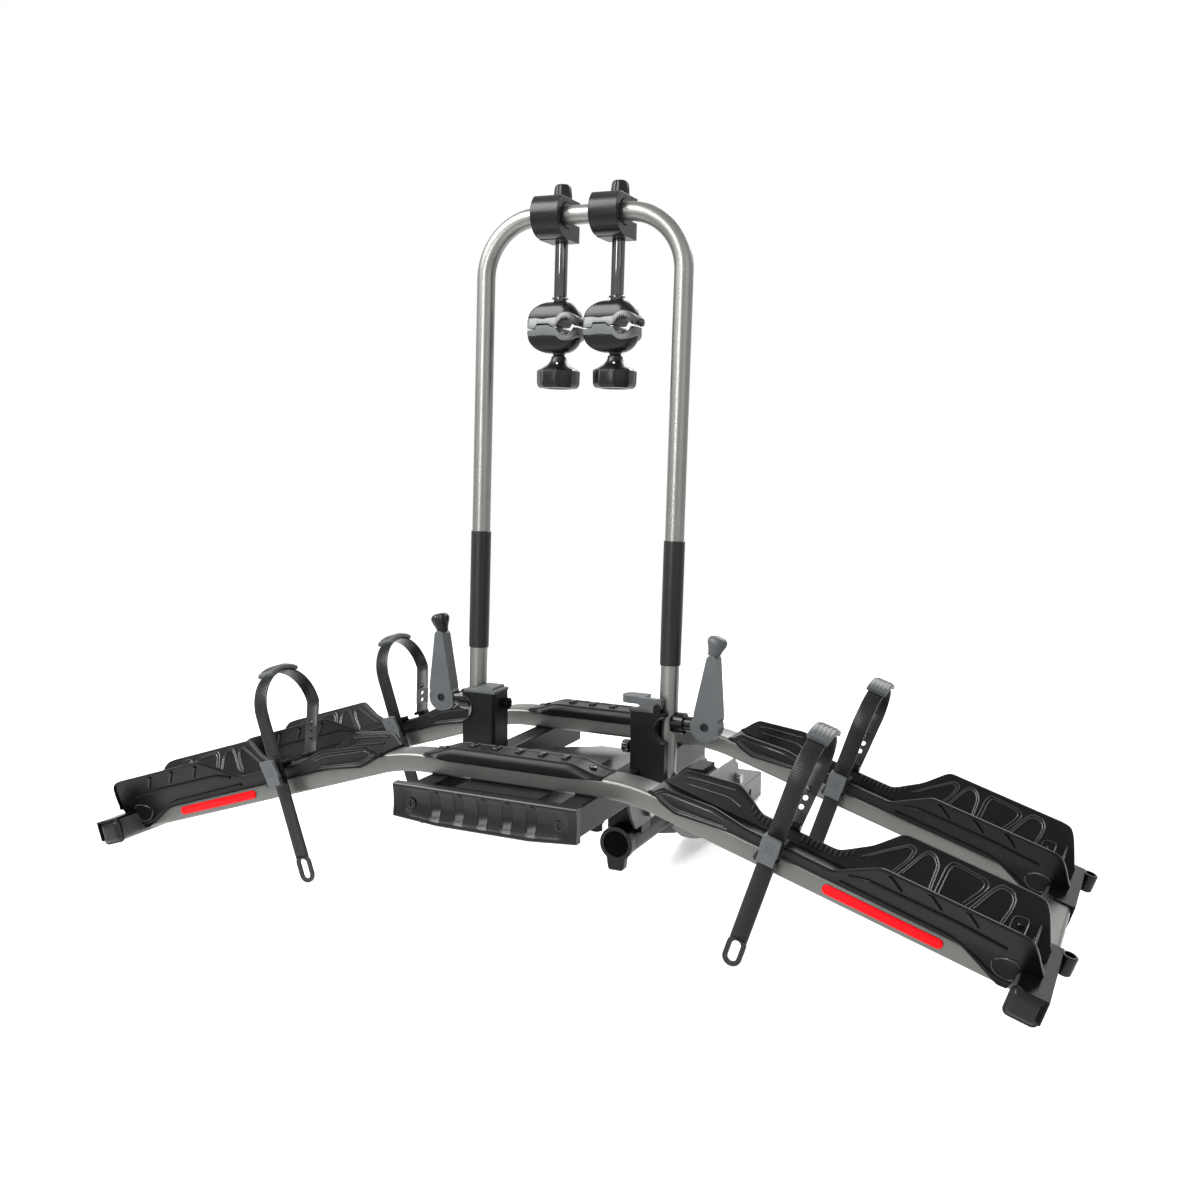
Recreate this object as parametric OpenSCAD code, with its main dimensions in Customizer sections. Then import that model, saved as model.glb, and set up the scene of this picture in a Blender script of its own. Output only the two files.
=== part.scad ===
// Platform hitch bike rack for two bikes.
// Millimetres, +Z up, X across the vehicle, +Y toward the vehicle.
// The origin is the centre of the hitch pin bore.

/* [Hitch shank] */
// Outside width and height of the square shank
shank_w = 50.8; // [46:0.1:51.5]
// Wall of the square shank
shank_wall = 6; // [4:0.5:8]
// Shank length from the pin toward the rack
shank_front = 100; // [80:1:110]
// Shank length from the pin into the receiver
shank_back = 70; // [40:1:160]
// Diameter of the hitch pin bore
hitch_pin_d = 16; // [12:0.1:17]

/* [Clevis and beam] */
// Thickness of each clevis plate
clevis_t = 5.5; // [4:0.5:8]
// Distance from the hitch pin forward to the beam fold pivot
fold_reach = 195; // [190:1:200]
// Height of the beam axis above the shank axis
beam_rise = 70; // [68:1:74]
// Outside diameter of the beam tube
beam_d = 50.8; // [44:0.1:52]
// Wall of the beam tube
beam_wall = 3; // [2:0.5:5]
// Distance from the fold pivot forward to the tilt pivot
tilt_reach = 330; // [320:1:360]
// Beam length in front of the tilt pivot
beam_nose = 44; // [36:1:50]
// Diameter of the fold bolt and the tilt bolt
pivot_d = 12; // [10:0.5:14]
// Diameter of the fold locking pin
lock_pin_d = 8; // [6:0.5:9]
// Travel of the fold locking pin
lock_pin_travel = 22; // [16:1:24]

/* [Rails] */
// Distance between the two rail centre lines
rail_gap = 292; // [280:1:310]
// Width of a rail
rail_w = 45; // [40:1:48]
// Height of a rail
rail_h = 25; // [22:0.5:28]
// Wall of a rail
rail_wall = 2; // [1.5:0.1:3]
// Distance from the centre to the corner where a wing begins
wing_start = 165; // [163:1:172]
// Angle by which each wing droops
droop = 18; // [12:0.5:20]
// Inside radius of the rail bend
bend_r = 208; // [160:1:212]
// Length of a wing from its corner to the end bar
wing_len = 481; // [478:1:510]
// Height of the rail underside above the tilt pivot
rail_rise = 135; // [130:1:145]
// Distance from the tilt pivot forward to the middle of the platform
centre_reach = 215; // [212:1:225]

/* [End bars] */
// Width of an end bar along the wing
end_bar_w = 36; // [30:1:40]
// Height of an end bar
end_bar_h = 32; // [28:1:34]
// Length of an end bar
end_bar_len = 420; // [412:1:440]
// Thickness of an end cap
end_cap_t = 8; // [5:1:12]

/* [Base frame] */
// Width of each long base tube
base_tube_w = 30; // [26:1:34]
// Height of the base tubes
base_tube_h = 40; // [34:1:44]
// Distance between the outer faces of the two long base tubes
base_span = 240; // [230:1:250]
// Distance from the middle to the front face of the base frame
base_front = 228; // [222:1:240]
// Distance from the middle to the rear end of the base frame
base_back = 225; // [200:1:235]
// Depth of the front cross tube
cross_d = 23; // [20:1:28]
// Width of the step plate
step_w = 260; // [252:1:270]
// Thickness of the step plate
step_t = 12; // [9:0.5:14]

/* [Neck] */
// Half width of the neck under the rails
neck_wide = 60; // [54:1:66]
// Half width of the neck at the tilt pivot
neck_narrow = 33; // [33:0.5:36]
// Sheet thickness of the neck
neck_t = 4; // [3:0.5:4]

/* [Posts and hoop] */
// Distance from the side of the base frame out to each hoop leg axis
leg_gap = 27.6; // [27.3:0.1:29]
// Diameter of the hoop tube
hoop_d = 25.4; // [22:0.1:25.6]
// Wall of the hoop tube
hoop_wall = 2; // [1.5:0.1:3]
// Length from the foot pivot to the axis of the top bar
hoop_len = 752; // [720:1:800]
// Bend radius of the hoop at the tube axis
hoop_bend_r = 80; // [70:1:80]
// Lean of the hoop toward the vehicle
hoop_lean = 2.8; // [1.5:0.1:3]
// Depth of the foot pivot under the rails
foot_drop = 15; // [14:0.5:16]
// Diameter of the foot pivot bolt
foot_bolt_d = 10; // [8:0.5:11]
// Height of a post above the base frame
post_h = 80; // [78:1:84]
// Height of the cam bolt above the foot pivot
cam_w = 78; // [76:0.5:80]
// Diameter of the cam bolt
cam_bolt_d = 8; // [7:0.5:9]
// Distance from the hoop leg axis out to the cam lever pin
cam_out = 55.4; // [54:0.1:60]
// Radius of the cam on the lever
cam_r = 20; // [18:0.5:20]
// Length of a cam lever from its pin
cam_lever_len = 96; // [80:1:105]
// Thickness of a cam lever
cam_lever_t = 22; // [20:0.5:24]
// Length of a grip sleeve
sleeve_len = 166; // [120:1:200]
// Distance from the foot pivot up to a grip sleeve
sleeve_from = 155; // [130:1:200]

/* [Holding arms] */
// Place of the left arm across the top bar
arm_left_x = -45; // [-46:0.5:-45]
// Place of the right arm across the top bar
arm_right_x = 41; // [41:0.5:42]
// Length of an arm collar
collar_len = 41; // [36:1:41]
// Outside diameter of an arm collar
collar_d = 60; // [56:1:64]
// Distance from the top bar axis back to the rod axis
rod_back = 27; // [26:0.5:30]
// Diameter of an arm rod
rod_d = 18; // [16:0.5:18]
// Distance from the top bar axis down to the clamp head
head_drop = 107; // [100:1:140]
// Length of the clamp head from its left end to the rod
head_left = 45; // [42:1:45]
// Length of the clamp head from the rod to its right end
head_right = 33; // [32:0.5:33]
// Half depth of the clamp head
head_half = 20; // [18:0.5:21]
// Height of each half of the clamp head
head_h = 39; // [36:1:42]
// Diameter of the round mouth in the clamp head
mouth_d = 25; // [22:0.5:25]
// Travel of the lower jaw
jaw_travel = 12; // [8:1:14]
// Diameter of the clamp stud
stud_d = 8; // [7:0.5:8]
// Diameter of the lower knob
knob_d = 60; // [50:1:62]
// Height of the lower knob
knob_h = 44; // [40:1:50]

/* [Wheel trays] */
// Wall thickness of a tray
tray_t = 3; // [2.5:0.5:3]
// Spread of a tray wall per unit of height
tray_spread = 0.575; // [0.5:0.005:0.6]
// Height of the high outer part of a tray above the rail underside
tray_high = 80; // [76:1:88]
// Height of the near low edge where a strap rides
ride_near = 43; // [43:0.5:45]
// Height of the far low edge where a strap rides
ride_far = 40; // [40:0.5:42]

/* [Wheel straps] */
// Distance of the strap from the wing corner
strap_s = 188; // [186:1:190]
// Width of a strap
strap_w = 22; // [20:0.5:24]
// Thickness of a strap
strap_t = 3; // [2.5:0.1:3]
// Inside radius of the strap loop
loop_r = 54.5; // [52:0.5:58]
// Height of the middle of the strap loop above the rail underside
loop_n = 116; // [110:1:125]
// Length of the loose strap end under the rail
tail_len = 120; // [90:1:140]

/* [Hidden] */
$fn = 64;

// Clearances
run_fit = 0.3;
bolt_fit = 0.2;
side_gap = 0.3;

// Colours
frame_black = "#1b1b1c";
hitch_grey = "#7b807f";
rail_silver = "#9a9c96";
molded_black = "#262626";
steel_grey = "#b4b6b4";
lever_grey = "#75777a";
strap_black = "#202022";
reflector_red = "#e01020";

// Places that follow from the driving sizes
platform_y = -(fold_reach + tilt_reach + centre_reach);
tilt_y = -(fold_reach + tilt_reach);
pivot_drop = 45;
tilt_z = beam_rise + pivot_drop;
platform_z = tilt_z + rail_rise;
rail_y = rail_gap / 2;
clevis_in = max(beam_d / 2 + 2.1, shank_w / 2);
clevis_out = clevis_in + clevis_t;
rail_side = rail_w / 2;
frame_in = base_span / 2 - base_tube_w;
leg_x = base_span / 2 + leg_gap;

// Rounded rectangle made of squares and circles
module rounded(w, h, r) {
    square([w - 2 * r, h], center = true);
    square([w, h - 2 * r], center = true);
    for (x = [-1, 1], y = [-1, 1])
        translate([x * (w / 2 - r), y * (h / 2 - r)]) circle(r);
}

module tube_outline(w, h, wall, r) {
    difference() {
        rounded(w, h, r);
        rounded(w - 2 * wall, h - 2 * wall, max(r - wall, 0.5));
    }
}

// Extrudes a (Y, Z) outline along +X from x0 to x1
module span_x(x0, x1) {
    translate([x0, 0, 0]) rotate([90, 0, 90]) linear_extrude(x1 - x0) children();
}

// Extrudes an (X, Z) outline along +Y from y0 to y1
module span_y(y0, y1) {
    translate([0, y1, 0]) rotate([90, 0, 0]) linear_extrude(y1 - y0) children();
}

// Round bar along X, from x0 to x1
module bar_x(x0, x1, r) {
    translate([x0, 0, 0]) rotate([0, 90, 0]) cylinder(h = x1 - x0, r = r);
}

// Round bar along Y, from y0 to y1
module bar_y(y0, y1, r) {
    translate([0, y1, 0]) rotate([90, 0, 0]) cylinder(h = y1 - y0, r = r);
}

// Box between two corners
module box(a, b) {
    translate(a) cube(b - a);
}

module sided(side) {
    if (side < 0) mirror([1, 0, 0]) children();
    else children();
}

module on_platform() translate([0, platform_y, platform_z]) children();

// Wing frame: x runs out along the wing, y across it, z square to it
module on_wing(side) {
    on_platform() sided(side) translate([wing_start, 0, 0]) rotate([0, droop, 0]) children();
}

// Hoop frame: origin on the foot pivot line, z runs up the legs
module on_hoop() {
    on_platform() translate([0, 0, -foot_drop]) rotate([-hoop_lean, 0, 0]) children();
}

// Rail: a flat band bent down at both ends, hollow inside
bend_x = wing_start - bend_r * tan(droop / 2);
bend_steps = 12;

// Right half of the side view of a line at height h above the rail underside
function rail_edge(h, end) = concat(
    [for (i = [0:bend_steps]) let (a = droop * i / bend_steps)
        [bend_x + (bend_r + h) * sin(a), (bend_r + h) * cos(a) - bend_r]],
    [[wing_start + end * cos(droop) + h * sin(droop), h * cos(droop) - end * sin(droop)]]);

// Side view of the rail between two heights above its underside
module rail_band(low, high, end) {
    upper = rail_edge(high, end);
    lower = rail_edge(low, end);
    last = len(upper) - 1;
    polygon(concat(
        [for (i = [0:last]) upper[i]],
        [for (i = [0:last]) lower[last - i]],
        [for (i = [0:last]) [-lower[i].x, lower[i].y]],
        [for (i = [0:last]) [-upper[last - i].x, upper[last - i].y]]));
}

module rail(y) {
    on_platform() translate([0, y, 0]) difference() {
        span_y(-rail_side, rail_side) rail_band(0, rail_h, wing_len);
        span_y(rail_wall - rail_side, rail_side - rail_wall)
            rail_band(rail_wall, rail_h - rail_wall, wing_len - rail_wall);
    }
}

module rail_front() color(rail_silver) rail(-rail_y);
module rail_rear() color(rail_silver) rail(rail_y);

// End bars and their caps
bar_low = -5;
bar_top = bar_low + end_bar_h;
bar_mid_s = wing_len + end_bar_w / 2;

module end_bars() {
    color(rail_silver) for (side = [-1, 1]) on_wing(side)
        translate([bar_mid_s, 0, bar_low + end_bar_h / 2])
            span_y(-end_bar_len / 2, end_bar_len / 2) tube_outline(end_bar_w, end_bar_h, rail_wall, 5);
}

module end_caps() {
    color(molded_black) for (side = [-1, 1], end = [-1, 1]) on_wing(side)
        translate([bar_mid_s, 0, bar_low + end_bar_h / 2]) mirror([0, end < 0 ? 1 : 0, 0]) {
            span_y(end_bar_len / 2, end_bar_len / 2 + end_cap_t - 2) rounded(end_bar_w, end_bar_h, 5);
            span_y(end_bar_len / 2 + end_cap_t - 2, end_bar_len / 2 + end_cap_t)
                rounded(end_bar_w - 3, end_bar_h - 3, 5);
        }
}

// Base frame: two long tubes and a front cross tube
module base_frame() {
    color(frame_black) on_platform() {
        for (side = [-1, 1])
            translate([side * (base_span - base_tube_w) / 2, 0, -base_tube_h / 2]) {
                span_y(-base_front, base_back) tube_outline(base_tube_w, base_tube_h, 2, 3);
                span_y(base_back - 2, base_back) rounded(base_tube_w, base_tube_h, 3);
                span_y(-base_front, 2 - base_front) rounded(base_tube_w, base_tube_h, 3);
            }
        translate([0, -base_front + cross_d / 2, -base_tube_h / 2])
            span_x(-frame_in, frame_in) tube_outline(cross_d, base_tube_h, 2, 3);
    }
}

// Rubber feet under the long tubes
foot_y = -130;
foot_h = 15;
foot_r = 10;

module feet() {
    color(molded_black) on_platform() for (side = [-1, 1])
        translate([side * (base_span - base_tube_w) / 2, foot_y, -base_tube_h - foot_h]) {
            cylinder(h = foot_h - 5, r = foot_r - 2);
            translate([0, 0, foot_h - 5]) cylinder(h = 5, r = foot_r);
        }
}

// Step plate with five notches, screwed to the front of the base frame
step_top = 6;
step_low = -38;
step_screw_x = (base_span - base_tube_w) / 2;
step_screw_z = -19;
screw_d = 6;
screw_head_r = 7;
screw_head_t = 3;
notch_step = 34;

module front_plate() {
    color(molded_black) on_platform() difference() {
        union() {
            span_y(-base_front - step_t / 2, -base_front)
                polygon([[-step_w / 2, step_low], [-step_w / 4, step_low - 5], [step_w / 4, step_low - 5],
                    [step_w / 2, step_low], [step_w / 2, step_top], [-step_w / 2, step_top]]);
            box([-step_w / 2, -base_front - step_t, step_top - 8], [step_w / 2, -base_front, step_top]);
            span_y(-base_front - step_t, -base_front)
                polygon([[-step_w / 2, step_low], [-step_w / 4, step_low - 5], [step_w / 4, step_low - 5],
                    [step_w / 2, step_low], [step_w / 2, step_low + 7], [step_w / 4, step_low + 2],
                    [-step_w / 4, step_low + 2], [-step_w / 2, step_low + 7]]);
            for (side = [-1, 1])
                box([side * step_screw_x - 12, -base_front - step_t + 3, step_low + 3],
                    [side * step_screw_x + 12, -base_front, step_top - 3]);
        }
        for (i = [-2:2])
            box([i * notch_step - 6, -base_front - step_t - 1, step_low + 9],
                [i * notch_step + 6, -base_front - step_t / 2 + 2, step_top + 1]);
        for (side = [-1, 1]) translate([side * step_screw_x, 0, step_screw_z]) {
            bar_y(-base_front - step_t - 1, -base_front + 1, screw_d / 2 + bolt_fit);
            bar_y(-base_front - step_t - 1, -base_front - step_t + 3 + screw_head_t, screw_head_r + bolt_fit);
        }
    }
}

module plate_screws() {
    color(steel_grey) on_platform() for (side = [-1, 1]) translate([side * step_screw_x, 0, step_screw_z])
        difference() {
            union() {
                bar_y(-base_front - step_t + 3, -base_front - step_t + 3 + screw_head_t, screw_head_r);
                bar_y(-base_front - step_t + 3, -base_front, screw_d / 2);
            }
            for (turn = [0, 90]) rotate([0, turn, 0])
                box([-4, -base_front - step_t + 2, -0.8], [4, -base_front - step_t + 4.5, 0.8]);
        }
}

// Moulded covers over the middle of the rails
cover_half = 129;
cover_flat = 80;
cover_rise = 14;
cover_skirt = 4;
cover_over = 3.3;

module cover(y) {
    reach = rail_side + cover_over;
    color(molded_black) on_platform() translate([0, y, 0]) {
        difference() {
            intersection() {
                span_y(-reach, reach)
                    polygon([[-cover_half, rail_h - 1], [-cover_half, rail_h + 2],
                        [-cover_flat, rail_h + cover_rise], [cover_flat, rail_h + cover_rise],
                        [cover_half, rail_h + 2], [cover_half, rail_h - 1],
                        [cover_flat + 5, rail_h - cover_skirt], [-cover_flat - 5, rail_h - cover_skirt]]);
                span_x(-cover_half, cover_half)
                    polygon([[-reach, 0], [-reach, rail_h + 6], [-reach + 6, rail_h + cover_rise],
                        [reach - 6, rail_h + cover_rise], [reach, rail_h + 6], [reach, 0]]);
            }
            box([-cover_half - 1, -rail_side - side_gap, 0], [cover_half + 1, rail_side + side_gap, rail_h]);
            span_y(-rail_side + 3, rail_side - 3)
                polygon([[-cover_half + 20, rail_h - 1], [-cover_half + 20, rail_h],
                    [-cover_flat, rail_h + cover_rise - 3], [cover_flat, rail_h + cover_rise - 3],
                    [cover_half - 20, rail_h], [cover_half - 20, rail_h - 1]]);
        }
        for (i = [-2:2])
            box([i * 33.5 - 4, -2, rail_h + cover_rise], [i * 33.5 + 4, 12, rail_h + cover_rise + 3]);
    }
}

module cover_front() cover(-rail_y);
module cover_rear() cover(rail_y);

// Neck: channel from the tilt pivot up under the rails
neck_back = 55;
neck_low = -(rail_rise + 17);

module neck_plan(inset) {
    back = centre_reach + neck_back;
    polygon([[-neck_wide + inset, -base_front + cross_d + inset], [neck_wide - inset, -base_front + cross_d + inset],
        [neck_wide - inset, 20], [neck_narrow - inset, 150], [neck_narrow - inset, back - inset],
        [-neck_narrow + inset, back - inset], [-neck_narrow + inset, 150], [-neck_wide + inset, 20]]);
}

module neck_side(inset) {
    polygon([[-base_front + cross_d, -inset], [6, -inset], [108, -18 - inset], [182, -33 - inset],
        [centre_reach + 15, -52 - inset], [centre_reach + 39, -80 - inset], [centre_reach + neck_back, -115],
        [centre_reach + neck_back, neck_low], [centre_reach - 49, neck_low], [129, -103],
        [100, -60], [60, -base_tube_h], [-base_front + cross_d, -base_tube_h]]);
}

module neck() {
    color(frame_black) on_platform() difference() {
        intersection() {
            span_x(-neck_wide, neck_wide) neck_side(0);
            translate([0, 0, -200]) linear_extrude(201) neck_plan(0);
        }
        intersection() {
            span_x(-neck_wide, neck_wide)
                polygon([[-base_front, -neck_t], [6, -neck_t], [108, -18 - neck_t], [182, -33 - neck_t],
                    [centre_reach + 13, -52 - neck_t], [centre_reach + 36, -80 - neck_t],
                    [centre_reach + neck_back, -115], [centre_reach + neck_back, neck_low - 1],
                    [-base_front, neck_low - 1]]);
            translate([0, 0, -200]) linear_extrude(201) neck_plan(neck_t);
        }
        translate([0, centre_reach, -rail_rise])
            bar_x(-neck_wide, neck_wide, pivot_d / 2 + bolt_fit);
    }
}

// Bolts of the platform: the tilt bolt and the two foot bolts of the hoop
bolt_head_r = 10;
bolt_head_t = 7;
leg_out = leg_x + hoop_d / 2;
post_in = base_span / 2 - 16;
post_mid = leg_x - hoop_d / 2 - 0.9;
post_out = leg_x + 7.4;

module pivot_bolts() {
    color(steel_grey) on_platform() {
        translate([0, centre_reach, -rail_rise]) {
            bar_x(-neck_narrow, neck_narrow, pivot_d / 2);
            bar_x(neck_narrow, neck_narrow + bolt_head_t, bolt_head_r);
            translate([-neck_narrow - bolt_head_t, 0, 0]) rotate([0, 90, 0])
                cylinder(h = bolt_head_t, r = bolt_head_r, $fn = 6);
        }
        for (side = [-1, 1]) sided(side) translate([0, 0, -foot_drop]) {
            bar_x(base_span / 2 + 1, leg_out + 1, foot_bolt_d / 2);
            bar_x(leg_out + 1, leg_out + 1 + bolt_head_t, bolt_head_r);
        }
    }
}

// Posts that carry the hoop
post_front = -27;
flange_back = -hoop_d / 2 - 0.8;
post_back = 14;
flange_low = -foot_drop - 1;
lug_low = -foot_drop - 15;
notch_z = 57;
notch_r = 18;
cam_y = cam_w * sin(hoop_lean);
cam_z = cam_w * cos(hoop_lean) - foot_drop;

module post_body() {
    difference() {
        union() {
            box([post_in, post_front + 5, 0], [post_mid, post_back, post_h]);
            box([post_in + 5, post_front, 0], [post_mid, post_back - 5, post_h]);
            translate([post_in + 5, post_front + 5, 0]) cylinder(h = post_h, r = 5);
            box([post_mid - 10, post_front, 0], [post_out, flange_back, post_h]);
            box([base_span / 2, post_front, flange_low], [post_out, flange_back, 0]);
            box([base_span / 2, post_front, lug_low], [post_mid, post_back, 0]);
        }
        translate([post_out + 2, 0, notch_z]) bar_y(post_front - 1, flange_back + 1, notch_r);
        translate([0, cam_y, cam_z]) bar_x(post_in - 1, post_mid + 1, cam_bolt_d / 2 + 1.5);
        box([post_in - 1, cam_y, cam_z - 8], [post_mid + 1, post_back + 1, cam_z + cam_bolt_d / 2 + 1.5]);
        translate([0, 0, -foot_drop]) bar_x(base_span / 2 - 1, post_mid + 1, foot_bolt_d / 2 + bolt_fit);
    }
}

// Hinge of the release handle on top of the right post
handle_pin_x = leg_x - 4.6;
handle_pin_z = post_h + 7;
ear_t = 2.2;
handle_low = post_h + 8;
handle_t = 10;
handle_r = 13;
handle_tip = post_in - 5;
handle_tip_y = -6;

module post_left() color(frame_black) on_platform() sided(-1) post_body();

module post_right() {
    color(frame_black) on_platform() {
        post_body();
        for (y = [post_front, flange_back - ear_t]) translate([handle_pin_x, 0, 0]) {
            box([-5, y, post_h], [5, y + ear_t, handle_pin_z]);
            translate([0, 0, handle_pin_z]) bar_y(y, y + ear_t, 5);
        }
        translate([handle_pin_x, 0, handle_pin_z]) bar_y(post_front, flange_back, 2);
    }
}

module post_cap() {
    color(lever_grey) on_platform() sided(-1) {
        box([post_in - 2, post_front, post_h], [post_mid, post_back, post_h + 5]);
        box([post_in + 3, post_front + 4, post_h + 5], [post_mid, post_back - 4, post_h + 9]);
        box([post_mid, post_front, post_h], [post_out - 2, flange_back + 2, post_h + 5]);
    }
}

module release_handle() {
    barrel_0 = post_front + ear_t + side_gap;
    barrel_1 = flange_back - ear_t - side_gap;
    color(lever_grey) on_platform() difference() {
        union() {
            translate([handle_tip, handle_tip_y, handle_low]) cylinder(h = handle_t, r = handle_r);
            box([handle_tip, handle_tip_y - handle_r, handle_low],
                [post_in + 17, handle_tip_y + handle_r, handle_low + handle_t]);
            box([post_in + 11, barrel_0, handle_low], [handle_pin_x + 5, barrel_1, handle_low + handle_t]);
            translate([handle_pin_x, 0, handle_pin_z]) bar_y(barrel_0, barrel_1, 5);
            box([handle_pin_x - 2, barrel_0, handle_pin_z], [handle_pin_x + 5, barrel_1, handle_low + 2]);
        }
        translate([handle_pin_x, 0, handle_pin_z]) bar_y(barrel_0 - 1, barrel_1 + 1, 2 + run_fit);
    }
}

// Small fluted knob on the inner face of the right post
post_knob_y = -8;
post_knob_z = 26;
post_knob_r = 9;

module post_knob() {
    color(molded_black) on_platform() translate([0, post_knob_y, post_knob_z]) difference() {
        union() {
            bar_x(post_in - 17, post_in - 6, post_knob_r);
            bar_x(post_in - 6, post_in - side_gap, 4);
        }
        for (i = [0:9]) rotate([i * 36, 0, 0]) translate([0, post_knob_r + 0.5, 0])
            bar_x(post_in - 18, post_in - 5, 1.6);
    }
}

// Hoop: two legs, two bends and the top bar
hoop_straight = leg_x - hoop_bend_r;

module ring_outline(r, wall) {
    difference() {
        circle(r);
        circle(r - wall);
    }
}

module hoop() {
    r = hoop_d / 2;
    color(rail_silver) on_hoop() difference() {
        union() {
            for (side = [-1, 1]) {
                translate([side * leg_x, 0, 0]) linear_extrude(hoop_len - hoop_bend_r)
                    ring_outline(r, hoop_wall);
                translate([side * leg_x, 0, 0]) sphere(r);
                sided(side) translate([hoop_straight, 0, hoop_len - hoop_bend_r]) rotate([90, 0, 0])
                    rotate_extrude(angle = 90) translate([hoop_bend_r, 0]) ring_outline(r, hoop_wall);
            }
            translate([0, 0, hoop_len]) span_x(-hoop_straight, hoop_straight) ring_outline(r, hoop_wall);
        }
        bar_x(-leg_out - 1, leg_out + 1, foot_bolt_d / 2 + run_fit);
        translate([0, 0, cam_w]) bar_x(-leg_out - 1, leg_out + 1, cam_bolt_d / 2 + bolt_fit);
    }
}

module sleeves() {
    color(molded_black) on_hoop() for (side = [-1, 1])
        translate([side * leg_x, 0, sleeve_from]) linear_extrude(sleeve_len)
            ring_outline(hoop_d / 2 + 1.5, 1.4);
}

// Cam bolts: nut, bolt, eye and cross pin, with a saddle and a washer outside each leg
cam_pin_x = leg_x + cam_out;
cam_face = cam_pin_x - cam_r;
saddle_r = 14.5;
saddle_out = leg_out + 11.7;
eye_r = 7;
cam_pin_d = 6;

module cam_bolts() {
    color(steel_grey) on_hoop() for (side = [-1, 1]) sided(side) translate([0, 0, cam_w]) {
        bar_x(post_in - 8, cam_pin_x, cam_bolt_d / 2);
        bar_x(post_in - 8, post_in - side_gap, 8);
        translate([cam_pin_x, 0, 0]) bar_y(-5, 5, eye_r);
        translate([cam_pin_x, 0, 0]) bar_y(-cam_lever_t / 2, cam_lever_t / 2, cam_pin_d / 2);
        difference() {
            bar_x(leg_x + 8, saddle_out, saddle_r);
            translate([leg_x, 0, -saddle_r - 1]) cylinder(h = 2 * saddle_r + 2, r = hoop_d / 2 + side_gap);
            bar_x(leg_x, saddle_out + 1, cam_bolt_d / 2 + bolt_fit);
        }
        difference() {
            bar_x(saddle_out, cam_face - side_gap, 10);
            bar_x(saddle_out - 1, cam_face, cam_bolt_d / 2 + bolt_fit);
        }
    }
}

// Cam lever: a tear-shaped paddle, forked round the eye of the bolt
lever_neck_r = 7;

module cam_lever(side) {
    half = cam_lever_t / 2;
    color(lever_grey) on_hoop() sided(side) translate([cam_pin_x, 0, cam_w]) difference() {
        union() {
            bar_y(-half, half, cam_r);
            span_y(-half, half) hull() {
                translate([2, 14]) circle(cam_r - 2, $fn = 32);
                translate([6, cam_lever_len - lever_neck_r]) circle(lever_neck_r, $fn = 32);
            }
        }
        bar_y(-half - 1, half + 1, cam_pin_d / 2 + run_fit);
        bar_y(-5 - side_gap, 5 + side_gap, eye_r + 1);
        box([-cam_r - 2, -5 - side_gap, -cam_r - 2], [cam_bolt_d + 1, 5 + side_gap, cam_bolt_d / 2 + 1]);
    }
}

module cam_knob(side) {
    color(side < 0 ? molded_black : lever_grey) on_hoop() sided(side)
        translate([cam_pin_x + 6, 0, cam_w + cam_lever_len]) {
            cylinder(h = 4, r = 7);
            translate([0, 0, 4]) intersection() {
                sphere(11);
                translate([0, 0, -1]) cylinder(h = 13, r = 10);
            }
        }
}

module cam_lever_left() cam_lever(-1);
module cam_lever_right() cam_lever(1);
module cam_knob_left() cam_knob(-1);
module cam_knob_right() cam_knob(1);

// Holding arm: origin on the top bar axis, rod axis rod_back behind it
module on_arm(x) on_hoop() translate([x, 0, hoop_len]) children();
module on_rod(x) on_arm(x) translate([0, rod_back, 0]) children();

liner_in = hoop_d / 2 + 0.25;
liner_out = liner_in + 4;
collar_top = 24;
collar_low = -31;
collar_stud_d = 12;
rod_shoulder = collar_low - side_gap;
head_low = head_drop + 2 * head_h;

module liner(x) {
    color(molded_black) on_arm(x) span_x(-collar_len / 2, collar_len / 2)
        ring_outline(liner_out, liner_out - liner_in);
}

module collar(x) {
    half = collar_len / 2;
    color(molded_black) on_arm(x) difference() {
        union() {
            intersection() {
                bar_x(-half, half, collar_d / 2);
                box([-half, -collar_d, collar_low], [half, 1, collar_top]);
            }
            box([-half, 0, collar_low], [half, rod_back + 13, collar_top]);
        }
        bar_x(-half - 1, half + 1, liner_out + run_fit);
        box([-half - 1, 12, -8], [half + 1, rod_back + 14, 8]);
        translate([0, rod_back, collar_low - 1]) cylinder(h = 60, r = collar_stud_d / 2 + run_fit);
    }
}

module rod(x) {
    color(steel_grey) on_rod(x) {
        translate([0, 0, -head_drop - 6]) cylinder(h = head_drop + 6 + rod_shoulder, r = rod_d / 2);
        translate([0, 0, rod_shoulder]) cylinder(h = collar_top + 14 - rod_shoulder, r = collar_stud_d / 2);
        translate([0, 0, -head_low - knob_h + 8]) cylinder(h = 2 * head_h + knob_h - 14, r = stud_d / 2);
    }
}

module top_knob(x) {
    color(molded_black) on_rod(x) translate([0, 0, collar_top + side_gap]) difference() {
        union() {
            cylinder(h = 4, r = 11);
            translate([0, 0, 4]) cylinder(h = 15, r = 13);
            translate([0, 0, 19]) cylinder(h = 3.5, r = 10.5);
        }
        translate([0, 0, -1]) cylinder(h = 16.5, r = collar_stud_d / 2 + run_fit);
        for (i = [0:9]) rotate([0, 0, i * 36]) translate([14, 0, 3]) cylinder(h = 17, r = 2);
    }
}

// Outline of the clamp head seen from above
module head_plan(inset) {
    circle_x = head_right - head_half;
    translate([circle_x, 0]) circle(head_half - inset);
    polygon([[circle_x, inset - head_half], [6 - head_left, inset - 15], [6 - head_left, 15 - inset],
        [circle_x, head_half - inset]]);
    for (end = [-1, 1]) translate([6 - head_left, end * 9]) circle(6 - inset);
    translate([inset - head_left, -9]) square([8, 18]);
}

jaw_h = 14;
mouth_x = head_right - 15;
mouth_ring = mouth_d / 2 + 7;
jaw_gap = 1.5;

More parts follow.
